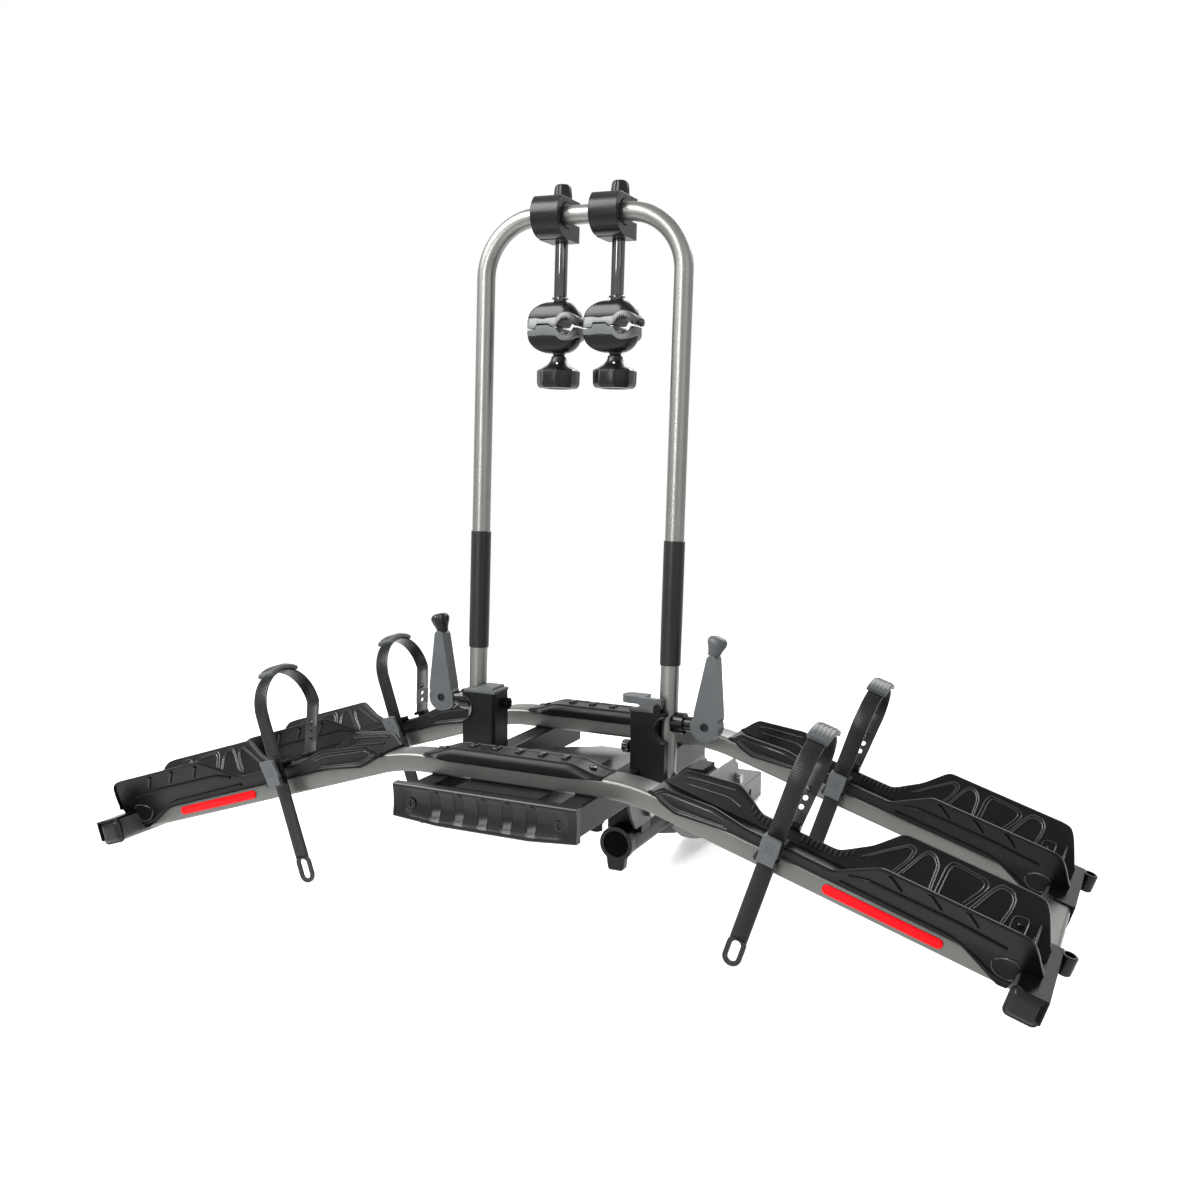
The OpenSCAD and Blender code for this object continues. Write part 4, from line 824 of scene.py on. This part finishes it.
for side in sides.values():
    at = moved(side * hoop["leg"], 0, 0)
    grips.turned([(bore, z0), (r - 0.7, z0), (r, z0 + 0.8), (r, z1 - 0.8), (r - 0.7, z1), (bore, z1)], 56, at)
    feetEnds.turned(hoop["foot"], 48, at)
piece("grip_sleeves", grips, hoopPlace, "gripBlack", "hoop_frame", ["sleeves"], smooth=40)
piece("hoop_foot_ends", feetEnds, hoopPlace, "hoopSilver", "hoop_frame", smooth=50)
print("stage: hoop")

# cam levers with knobs
camKnob = {"x": 209, "z": 174, "lean": 14, "squash": 0.86, "ribs": 14, "ribDepth": 0.03, "ribFrom": 5,
           "profile": [(0, -2), (8.4, -2), (8.8, 2), (9.8, 6), (11.4, 10), (13, 14), (13.6, 17), (13.1, 20),
                       (11, 22.8), (6.6, 24.5), (0, 25)],
           "pinX": 203, "pinOut": 11, "pinZ": 78,
           "pin": [(0, -1), (5.6, -1), (5.6, 0.8), (4.8, 1.6), (3.2, 1.7), (2.8, 0.3), (0, 0.3)]}


def knobRibs(a, r, h):
    return r * (1 + camKnob["ribDepth"] * cos(camKnob["ribs"] * a)) if h > camKnob["ribFrom"] else r


for sideName, side in sides.items():
    body = "lever_" + sideName
    refined("cam_lever_" + sideName, "leverGrey", body, bevel=3.2, segments=4, smooth=50)
    mirrored = hoopPlace @ Matrix.Diagonal((side, 1, 1, 1))
    leaned = spun(camKnob["lean"], "Y") @ Matrix.Diagonal((1, camKnob["squash"], 1, 1))
    knob = Shape().turned(camKnob["profile"], 84, leaned, knobRibs if side < 0 else None)
    piece("cam_knob_ball_" + sideName, knob, mirrored @ moved(camKnob["x"], 0, camKnob["z"]),
          "satinBlack" if side < 0 else "leverGrey", body, ["cam_knob_" + sideName], smooth=50)
    pins = Shape()
    for sign, axis in ((1, "y"), (-1, "-y")):
        spot = (camKnob["pinX"], sign * camKnob["pinOut"], camKnob["pinZ"])
        pins.turned(camKnob["pin"], 30, mirrored @ along(axis, spot))
    piece("cam_pin_heads_" + sideName, pins, unmoved, "glossBlack", body, smooth=35)
print("stage: cam levers")

# fluted knob on the right post, and the rims of the posts' notches
postKnob = {"place": (104, -8, 26), "flutes": 10, "depth": 1.1, "above": 5,
            "profile": [(0, -17), (7.2, -17), (8.8, -15.8), (9, -12), (9, -8), (8.4, -6.4), (4, -6), (4, -0.3),
                        (0, -0.3)]}
notch = {"x": 157, "y": -27.2, "z": 57, "radius": 18.2, "rim": 1.3, "turn": 80, "step": 8}


def fluted(a, r, h):
    return r - (postKnob["depth"] * max(0, cos(postKnob["flutes"] * a)) ** 2 if r > postKnob["above"] else 0)


knob = Shape().turned(postKnob["profile"], 80, moved(*postKnob["place"]) @ along("x"), fluted)
piece("post_fluted_knob", knob, platform, "glossBlack", "fluted_knob", ["post_knob"], smooth=45)
for sideName, side in sides.items():
    angles = [radians(a) for a in range(-notch["turn"], notch["turn"] + 1, notch["step"])]
    arc = [(notch["x"] - notch["radius"] * cos(a), notch["y"], notch["z"] + notch["radius"] * sin(a)) for a in angles]
    grown("notch_rim_" + sideName, "round", arc, pathEdges(len(arc)), {"Radius": notch["rim"] * mm, "Sides": 10},
          "satinBlack", "platform", (), platform @ Matrix.Diagonal((side, 1, 1, 1)))

# clamp heads: from above, a large round end at the mouth and a smaller one at the back
head = {"right": 33, "half": 20, "mouthX": 18, "ring": 19.5, "teeth": 13, "backX": -39, "backHalf": 15,
        "backRound": 6, "middle": -6, "reach": 39, "steps": 30, "from": -44.8, "to": 32.9}
dome = {"foot": (0.95, 8.5), "tip": 0.27, "spread": 0.715, "power": 1.05, "low": 10.5, "tall": 24.5, "steps": 12,
        "neck": [(0, 30), (9.6, 34.6), (8.4, 36.2), (8.0, 38.4), (7.2, 39.2), (0, 39.2)]}


def headHalf(x):
    half, back, backHalf, r = (head[k] for k in ("half", "backX", "backHalf", "backRound"))
    centre = head["right"] - half
    if x > centre:
        return sqrt(max(half ** 2 - (x - centre) ** 2, 0.2))
    if x > back:
        return backHalf + (half - backHalf) * (x - back) / (centre - back)
    return backHalf - r + sqrt(max(r * r - (x - back) ** 2, 0))


def jawHalf(x):
    centre = head["right"] - head["half"]
    share = min(max((x - centre) / (head["half"] + 0.3), 0), 1)
    return headHalf(x) if x < centre else head["half"] * (1 - share ** 4) ** 0.25


def headRing(scale, z):
    xs = [head["middle"] - head["reach"] * cos(pi * k / head["steps"]) for k in range(head["steps"] + 1)]
    upper = [(x, headHalf(x)) for x in xs]
    return [(x * scale, y * scale, z) for x, y in [(x, -y) for x, y in upper] + upper[::-1]]


def domeShell():
    rings = [headRing(*dome["foot"])]
    for k in range(dome["steps"] + 1):
        a = pi / 2 * k / dome["steps"]
        scale = dome["tip"] + dome["spread"] * cos(a) ** dome["power"]
        rings.append(headRing(scale, dome["low"] + dome["tall"] * sin(a)))
    return Shape().loft(rings).turned(dome["neck"], 40)


def between(points, x):
    x = min(max(x, points[0][0]), points[-1][0])
    for (x0, z0), (x1, z1) in zip(points, points[1:]):
        if x0 <= x <= x1:
            return z0 + (z1 - z0) * (x - x0) / max(x1 - x0, 1e-6)
    return points[-1][1]


jawTop = [(-44.8, 8), (-43.6, 11), (-40, 12.6), (-30, 12.8), (-18, 11.2), (-8, 12.4), (3.5, 13), (33, 13)]
jawGaps = {
    "upper": [(-44.8, 0.4), (-43.6, -1.8), (-30, -1.8), (-27.6, 4.4), (-9, 4.4), (-3, 1.2), (33, 1.2)],
    "lower": [(-44.8, 6), (-43.6, 4.2), (-30, 4.2), (-27.6, -2.0), (-9, -2.0), (-3, 1.2), (33, 1.2)],
}
jawTeeth = {"half": 14, "reach": 158, "radius": 12.6, "depth": 1.5, "sharp": 2.2}
liner = {"half": 14.2, "radius": 15, "reach": 110, "inner": 10.8, "depth": 0.85, "low": 1.4, "steps": 80}


def jawSlices():
    made, x = [], head["from"]
    while x < head["to"]:
        made.append(x)
        x += 0.5 if x > 3 else 1.4
    return made + [head["to"]]


def jawShape(gap):
    rings = []
    for x in jawSlices():
        dx = x - head["mouthX"]
        top = between(jawTop, x)
        if abs(dx) < head["ring"]:
            top = max(top if x < 4 else 0, sqrt(head["ring"] ** 2 - dx * dx))
        low = between(gap, x)
        if abs(dx) < jawTeeth["half"]:
            spoke = atan2(sqrt(max(jawTeeth["reach"] - dx * dx, 0)), dx)
            wave = max(-1, min(1, jawTeeth["sharp"] * cos(2 * head["teeth"] * spoke)))
            r = jawTeeth["radius"] + jawTeeth["depth"] * wave
            low = max(low, sqrt(max(r * r - dx * dx, 0)))
        half = jawHalf(x) + 0.4
        low = min(low, top - 0.6)
        rings.append([(x, -half, low), (x, -half, top - 1.2), (x, -half + 1.2, top), (x, half - 1.2, top),
                      (x, half, top - 1.2), (x, half, low)])
    return Shape().loft(rings)


def mouthLiner():
    rings = []
    for k in range(liner["steps"] + 1):
        dx = -liner["half"] + 2 * liner["half"] * k / liner["steps"]
        x = head["mouthX"] + dx
        spoke = atan2(sqrt(max(liner["reach"] - dx * dx, 0)), dx)
        inner = liner["inner"] + liner["depth"] * cos(2 * head["teeth"] * spoke)
        low = max(liner["low"], sqrt(max(inner ** 2 - dx * dx, 0)))
        top = max(sqrt(max(liner["radius"] ** 2 - dx * dx, 0)), low + 0.5)
        half = jawHalf(x) - 1.2
        rings.append([(x, -half, low), (x, -half, top), (x, half, top), (x, half, low)])
    return Shape().loft(rings)


# flutes and knurls of the round parts: how many, how deep and beyond which radius
flutes = {"lowKnob": (8, 2.0, 23), "topKnob": (8, 1.0, 9.5), "ring": (24, 0.9, 15), "ringEnd": 20.4,
          "pin": (12, 0.06, 4)}


def flats(a, r, h):
    count, depth, above = flutes["lowKnob"]
    return r - (depth * abs(cos(count * a / 2)) ** 0.45 if r > above else 0)


def scallops(a, r, h):
    count, depth, above = flutes["topKnob"]
    return r - (depth * max(0, cos(count * a)) ** 1.6 if r > above else 0)


def ringTeeth(a, r, h):
    count, depth, above = flutes["ring"]
    return r + (depth * cos(count * a) if r > above and abs(h) > flutes["ringEnd"] else 0)


def pinKnurl(a, r, h):
    count, depth, above = flutes["pin"]
    return r * (1 + depth * cos(count * a)) if r > above else r


# holding arms: round parts as (radius, distance along the rod or the hoop)
armPlaces = {"left": places["armLeft"], "right": places["armRight"]}
pinTips = {"left": 7.4, "right": 10.3}
arm = {
    "ring": [(12.8, -22), (16.2, -22), (16.95, -21.2), (16.95, -20.5), (16.9, 20.5), (16.95, 21.2), (16.2, 22),
             (12.8, 22)],
    "rod": [(0, -113), (8.2, -113), (9, -112), (9, -31.5), (8.6, -31.3), (6, -31.3), (6, 38), (0, 38)],
    "stud": [(0, -221), (4, -221), (4, -113), (0, -113)],
    "rodRing": [(9.05, -108), (11.5, -107.6), (11.5, -106), (9.8, -104.6), (9.05, -104.4)],
    "topKnob": [(0, 24.3), (12.4, 24.3), (13, 25.2), (12.8, 30), (12.3, 36), (11.7, 41.5), (10.8, 44.6),
                (9.0, 46.4), (5, 46.9), (0, 47)],
    "lowKnob": [(0, -185.3), (9.5, -185.3), (10.4, -186.2), (10.6, -189), (12.2, -193), (16.5, -197.6),
                (22.5, -201.4), (27.6, -203.6), (29.6, -205.4), (30, -208), (29.6, -222), (28.6, -226),
                (25.8, -228.8), (19, -229.3), (17.5, -228.2), (0, -227.8)],
    "rivet": [(0, -2), (2.1, -2), (2.1, 0.4), (1.5, 1.2), (0, 1.4)], "rivetAt": (4.5, -13.2, -196), "rivetLean": 64,
    "pinIn": 3, "pinUp": 4.6,
}
for sideName, armX in armPlaces.items():
    rodBody, jawBody, knobBody = "arm_rod_" + sideName, "arm_jaw_" + sideName, "arm_knob_" + sideName
    refined("collar_" + sideName, "satinBlack", "arm_collar_" + sideName, bevel=2.4, segments=4, smooth=50)
    acrossHoop = hoopPlace @ moved(armX, 0, places["hoopLength"]) @ along("x")
    ring = Shape().turned(arm["ring"], 96, acrossHoop, ringTeeth)
    piece("liner_ring_" + sideName, ring, unmoved, "glossBlack", "arm_liner_" + sideName,
          ["liner_" + sideName], smooth=40)
    at = rodPlace(armX)
    rod = Shape().turned(arm["rod"], 48).turned(arm["stud"], 32).turned(arm["rodRing"], 40)
    piece("rod_tube_" + sideName, rod, at, "chrome", rodBody, ["rod_" + sideName], smooth=40)
    topKnob = Shape().turned(arm["topKnob"], 120, None, scallops)
    piece("top_knob_cap_" + sideName, topKnob, at, "satinBlack", "arm_top_knob_" + sideName,
          ["top_knob_" + sideName], smooth=45)
    split = at @ moved(0, 0, -places["splitDown"])
    under = split @ Matrix.Diagonal((1, 1, -1, 1))
    piece("upper_shell_" + sideName, domeShell(), split, "satinBlack", rodBody, ["shell_" + sideName], smooth=48)
    for level, place, body in (("upper", split, rodBody), ("lower", under, jawBody)):
        piece(level + "_jaw_grip_" + sideName, jawShape(jawGaps[level]), place, "jawGrey", body,
              [level + "_jaw_" + sideName], smooth=50)
    lining, tip = mouthLiner(), pinTips[sideName]
    pin = [(0, 0), (3, 0), (3, 5.2), (5.2, 5.3), (5.2, tip - 0.7), (4.4, tip), (0, tip)]
    lining.turned(pin, 24, along("x", (head["right"] - arm["pinIn"], 0, arm["pinUp"])), pinKnurl)
    piece("upper_mouth_liner_" + sideName, lining, split, "gripBlack", rodBody, smooth=40)
    piece("lower_mouth_liner_" + sideName, mouthLiner(), under, "gripBlack", jawBody, smooth=40)
    piece("lower_shell_" + sideName, domeShell(), under, "satinBlack", jawBody, smooth=48)
    lowKnob = Shape().turned(arm["lowKnob"], 160, None, flats)
    piece("lower_knob_body_" + sideName, lowKnob, at, "satinBlack", knobBody, ["lower_knob_" + sideName], smooth=32)
    rivetPlace = moved(*arm["rivetAt"]) @ spun(arm["rivetLean"], "X")
    rivet = Shape().turned(arm["rivet"], 20, rivetPlace)
    piece("lower_knob_rivet_" + sideName, rivet, at, "zinc", knobBody, smooth=40)
print("stage: holding arms")

# wheel straps: ribbed band, tail loop, base, clip, pad and buckle lever
strap = {"from": 177, "to": 199, "thick": 3, "near": -40.5, "loopMid": 15.5, "loopHeight": 116, "radius": 56,
         "pitch": 3.1, "tailStart": -86, "farY": 34.2, "farN": 44, "cuts": (0.4815, 0.6296, 0.7777), "rivetAt": 0.41}
tailLoop = {"outer": (24, 40, 11.8, 8, 188, -101.5), "inner": (12, 28, 5.9, 8, 188, -101.8), "from": -42, "to": -39}
strapMid = (strap["from"] + strap["to"]) / 2


def bandPath():
    straight = int((strap["loopHeight"] - strap["tailStart"]) / 4)
    points = [(strapMid, strap["near"], strap["tailStart"] + 4 * k) for k in range(straight)]
    for k in range(45):
        a = pi * (1 - k / 44)
        points.append((strapMid, strap["loopMid"] + strap["radius"] * cos(a),
                       strap["loopHeight"] + strap["radius"] * sin(a)))
    return points, Vector(points[-1]), Vector((strapMid, strap["farY"], strap["farN"]))


# turns a piece drawn flat, with y along the band, to lie along the direction t
def alongBand(t):
    return Matrix((Vector((1, 0, 0)), t, Vector((0, -t.z, t.y)))).transposed()


def bandHole(half, length, radius=3.3, count=32):
    outer, inner = [], []
    for k in range(count):
        a = 2 * pi * (k + 0.5) / count
        c, sn = cos(a), sin(a)
        far = min(half / max(abs(c), 1e-6), length / max(abs(sn), 1e-6))
        outer.append((far * c, far * sn))
        inner.append((radius * c, radius * sn))
    return ringOf(outer, inner, -strap["thick"] / 2, strap["thick"] / 2, "z")


def bandRings(points):
    rings = []
    for k, p in enumerate(points):
        before, after = Vector(points[max(k - 1, 0)]), Vector(points[min(k + 1, len(points) - 1)])
        t = (after - before).normalized()
        across = Vector((0, -t.z, t.y))
        section = roundRect(strap["to"] - strap["from"], strap["thick"], 1.1, 2)
        rings.append([Vector(p) + Vector((a, 0, 0)) + across * b for a, b in section])
    return rings


def onLoop(angle, across, r):
    return (strapMid + across, strap["loopMid"] + r * cos(angle), strap["loopHeight"] + r * sin(angle))


def paddleBend(n):
    return 0.19 * (n - 30) + 0.0016 * (n - 30) ** 2


pad = {"turn": 27, "steps": 9, "width": 27.5, "thick": 5.4, "lift": 0.8, "radius": 60.2,
       "ribs": 4, "ribFrom": -9.6, "ribPitch": 5.2, "ribTurn": 20, "ribSteps": 6, "ribSwing": 3.0, "ribRadius": 63.2,
       "rib": ((-1.3, 0), (1.3, 0), (0.8, 1.5), (-0.8, 1.5))}
mount = {
    "body": [(-24.5, 49.5), (-47, 51), (-47.3, 20.5), (-42.8, 20), (-42.6, 26), (-44.5, 27), (-44.5, 47), (-38.7, 47),
             (-38.7, 43.8), (-36.6, 45.6), (-27.4, 45.2), (-27.4, 41.5), (-24.2, 41.5)],
    "bodyFrom": 174.2, "bodyTo": 201.8,
    "ear": [(-46, 20), (-54, 19.8), (-56, 24), (-54, 28.4), (-46, 30)], "ears": (174, 199.5), "earWidth": 2.5,
    "pin": [(0, 0), (3.2, 0), (3.2, 1.2), (2.4, 1.8), (0, 1.8)], "pins": (("x", 201.6), ("-x", 174.4)),
    "pinY": -52, "pinN": 24,
    "clip": [(27, 43.6), (27, 48.4), (39.9, 48.6), (40.6, 30), (36.8, 28), (35.8, 28.6), (37.4, 44.9), (30.4, 45.5),
             (30.2, 43.6)],
    "clipFrom": 177.4, "clipTo": 198.6,
    "rivet": [(0, -2.6), (3.2, -2.6), (4.2, -1.8), (4.2, 1.8), (3.2, 2.6), (0, 2.6)],
}
buckle = {"width": 24, "length": 27, "corner": 3.4, "mid": 43.5, "face": -52,
          "crown": ((-3.0, -1.4), (-2.4, -0.4), (-1.2, 0), (1.2, 0), (2.6, -0.5), (3.2, -1.6)),
          "root": [(-48, 20.6), (-55, 20.4), (-56.1, 24), (-56, 34), (-49, 34)],
          "ribs": 3, "ribFrom": 37, "ribPitch": 5, "ribLow": 182, "ribHigh": 194,
          "rib": ((-54.8, -0.9), (-55.9, -0.5), (-56.1, 0.5), (-55.0, 0.9))}
ribSeed = seed("ribSeed", boxShape((-9.4, -0.75, -0.6), (9.4, 0.75, 0.6)), bevel=0.3)

for label, (side, rowY) in corners.items():
    place = wing(side, rowY)
    strapBody, buckleBody = "strap_body_" + label, "buckle_body_" + label
    path, loopEnd, footEnd = bandPath()
    cuts = strap["cuts"]
    t = (footEnd - loopEnd).normalized()
    length = (footEnd - loopEnd).length
    flat = alongBand(t).to_4x4()
    band = Shape()
    band.loft(bandRings(path + [tuple(loopEnd.lerp(footEnd, cuts[0] * k / 4)) for k in range(1, 5)]))
    band.loft(bandRings([tuple(loopEnd.lerp(footEnd, cuts[2] + (1 - cuts[2]) * k / 3)) for k in range(4)]))
    for k in (0, 1):
        hole = bandHole(11, (cuts[k + 1] - cuts[k]) * length / 2 + 0.01)
        band.add(hole.verts, hole.faces, moved(*loopEnd.lerp(footEnd, (cuts[k] + cuts[k + 1]) / 2)) @ flat)
    outer, inner = roundRect(*tailLoop["outer"]), roundRect(*tailLoop["inner"])
    loop = ringOf(outer, inner, tailLoop["from"], tailLoop["to"], "y")
    band.add(loop.verts, loop.faces)
    piece("strap_band_" + label, band, place, "gripBlack", strapBody, ["strap_" + label], smooth=40)

    path = path + [tuple(loopEnd.lerp(footEnd, k / 8)) for k in range(1, 9)]
    spots, turns, gone = [], [], 0.0
    for before, after in zip(path, path[1:]):
        a, b = Vector(before), Vector(after)
        length, t = (b - a).length, (b - a).normalized()
        while gone <= length:
            p = a + (b - a) * (gone / length)
            # no ribs inside the mount, under the pad or on the far leg
            mounted, padded = p.y < 0 and 14 < p.z < 60, p.z > strap["loopHeight"] + 48
            if not (mounted or padded or (p.y > 20 and p.z < 92)):
                spots.append(p + Vector((0, -t.z, t.y)) * 1.95)
                turns.append(anglesOf(place.to_3x3() @ alongBand(t), side))
            gone += strap["pitch"]
        gone -= length
    values = {"Solid": ribSeed, "Scale": 1.0}
    grown("strap_ribs_" + label, "row", spots, [], values, "strapRubber", strapBody, (), place, turns)

    padShape, rings = Shape(), []
    for k in range(-pad["steps"], pad["steps"] + 1):
        a = radians(90 + pad["turn"] * k / pad["steps"])
        lift = pad["lift"] if abs(k) < pad["steps"] else 0
        rings.append([onLoop(a, u, pad["radius"] + v + lift / 2)
                      for u, v in roundRect(pad["width"], pad["thick"] + lift, 1.8, 3)])
    padShape.loft(rings)
    for k in range(pad["ribs"]):
        rings = []
        for j in range(-pad["ribSteps"], pad["ribSteps"] + 1):
            a = radians(90 + pad["ribTurn"] * j / pad["ribSteps"])
            shift = pad["ribFrom"] + pad["ribPitch"] * k + pad["ribSwing"] * abs(j) / pad["ribSteps"]
            rings.append([onLoop(a, shift + u, pad["ribRadius"] + v) for u, v in pad["rib"]])
        padShape.loft(rings)
    piece("strap_pad_" + label, padShape, place, "leverGrey", strapBody, smooth=36)

    holder = Shape().prism(mount["body"], mount["bodyFrom"], mount["bodyTo"], "x")
    for s in mount["ears"]:
        holder.prism(mount["ear"], s, s + mount["earWidth"], "x")
    for axis, s in mount["pins"]:
        holder.turned(mount["pin"], 20, along(axis, (s, mount["pinY"], mount["pinN"])))
    holder.prism(mount["clip"], mount["clipFrom"], mount["clipTo"], "x")
    piece("strap_mount_" + label, holder, place, "satinBlack", strapBody, bevel=0.7)
    rivet = Shape().turned(mount["rivet"], 24, moved(*loopEnd.lerp(footEnd, strap["rivetAt"])) @ flat)
    piece("strap_rivet_" + label, rivet, place, "glossBlack", strapBody, smooth=40)

    rings = []
    for out, grow in buckle["crown"]:
        ring = roundRect(buckle["width"] + 2 * grow, buckle["length"] + 2 * grow, buckle["corner"], 4, strapMid,
                         buckle["mid"])
        rings.append([(u, buckle["face"] - paddleBend(v) - out, v) for u, v in ring])
    paddle = Shape().loft(rings).prism(buckle["root"], strap["from"], strap["to"], "x")
    for k in range(buckle["ribs"]):
        n = buckle["ribFrom"] + buckle["ribPitch"] * k
        rib = [(y - paddleBend(n), n + up) for y, up in buckle["rib"]]
        paddle.prism(rib, buckle["ribLow"], buckle["ribHigh"], "x")
    piece("buckle_paddle_" + label, paddle, place, "leverGrey", buckleBody, ["buckle_" + label], bevel=0.5, smooth=38)
print("stage: straps")

# pale floor, soft studio light and a white background
stageValues = {"drop": 0.004, "half": 40.0, "world": 0.42, "glow": 0.42, "fadeFrom": 1.1, "fadeTo": 2.4,
               "middle": (0, -0.6, 0.4), "grain": (0.78, 0.82), "dark": (0.8, 0.8, 0.8), "pale": (0.9, 0.9, 0.9)}
lamps = {
    "keyLight": ((-1.9, -2.3, 2.7), (2.3, 1.9), 215), "stripLight": ((-0.3, -3.1, 1.4), (0.4, 1.8), 42),
    "fillLight": ((2.9, -2.2, 1.6), (2.2, 2.2), 14), "rimLight": ((0.6, 2.3, 2.6), (2.4, 1.4), 80),
}
lowest = cadBox[0].z - stageValues["drop"]
floorMesh = bpy.data.meshes.new("floor")
h = stageValues["half"]
floorMesh.from_pydata([(-h, -h, lowest), (h, -h, lowest), (h, h, lowest), (-h, h, lowest)], [], [(0, 1, 2, 3)])
floor = linked("floor", floorMesh)


# 1 for camera, glossy and transmission rays, and 0 for the others
def whiteShare(wire):
    kinds = ("Is Camera Ray", "Is Glossy Ray", "Is Transmission Ray")
    rays = [wire.make("ShaderNodeLightPath", out=kind) for kind in kinds]
    return wire.maths("MINIMUM", rays[0] + rays[1] + rays[2], 1.0)


floorMaterial = bpy.data.materials.new("paleFloor")
wire = emptyTree(floorMaterial)
point = wire.make("ShaderNodeTexCoord", out="Object")
soft = mapped(wire, noiseAt(wire, point, 3, 3.0), 0, 1, *stageValues["grain"])
tint = mixColour(wire, soft, stageValues["dark"], stageValues["pale"])
matte = wire.make("ShaderNodeBsdfDiffuse", None, {"Color": tint})
glow = wire.make("ShaderNodeEmission", None, {"Color": (1, 1, 1, 1), "Strength": stageValues["glow"]})
both = wire.make("ShaderNodeAddShader", None, {0: matte, 1: glow})
reach = wire.make("ShaderNodeVectorMath", {"operation": "LENGTH"}, {0: point}, "Value")
fade = mapped(wire, reach, stageValues["fadeFrom"], stageValues["fadeTo"], kind="SMOOTHSTEP")
white = wire.make("ShaderNodeEmission", None, {"Color": (1, 1, 1, 1), "Strength": 1.0})
faded = wire.make("ShaderNodeMixShader", None, {0: fade, 1: both, 2: white})
shown = wire.make("ShaderNodeMixShader", None, {0: whiteShare(wire), 1: matte, 2: faded})
wire.make("ShaderNodeOutputMaterial", None, {"Surface": shown})
floorMesh.materials.append(floorMaterial)

world = bpy.data.worlds.new("studio")
scene.world = world
wire = emptyTree(world)
strength = mapped(wire, whiteShare(wire), 0, 1, stageValues["world"], 1.0)
sky = wire.make("ShaderNodeBackground", None, {"Color": (1, 1, 1, 1), "Strength": strength})
wire.make("ShaderNodeOutputWorld", None, {"Surface": sky})

for name, (place, size, power) in lamps.items():
    data = bpy.data.lights.new(name, "AREA")
    data.shape, data.size, data.size_y, data.energy = "RECTANGLE", *size, power
    lamp = linked(name, data)
    lamp.location = place
    aim = Vector(stageValues["middle"]) - Vector(place)
    lamp.rotation_euler = aim.to_track_quat("-Z", "Y").to_euler()
print("stage: light and floor")

for helper in seeds:
    bpy.data.objects.remove(helper)
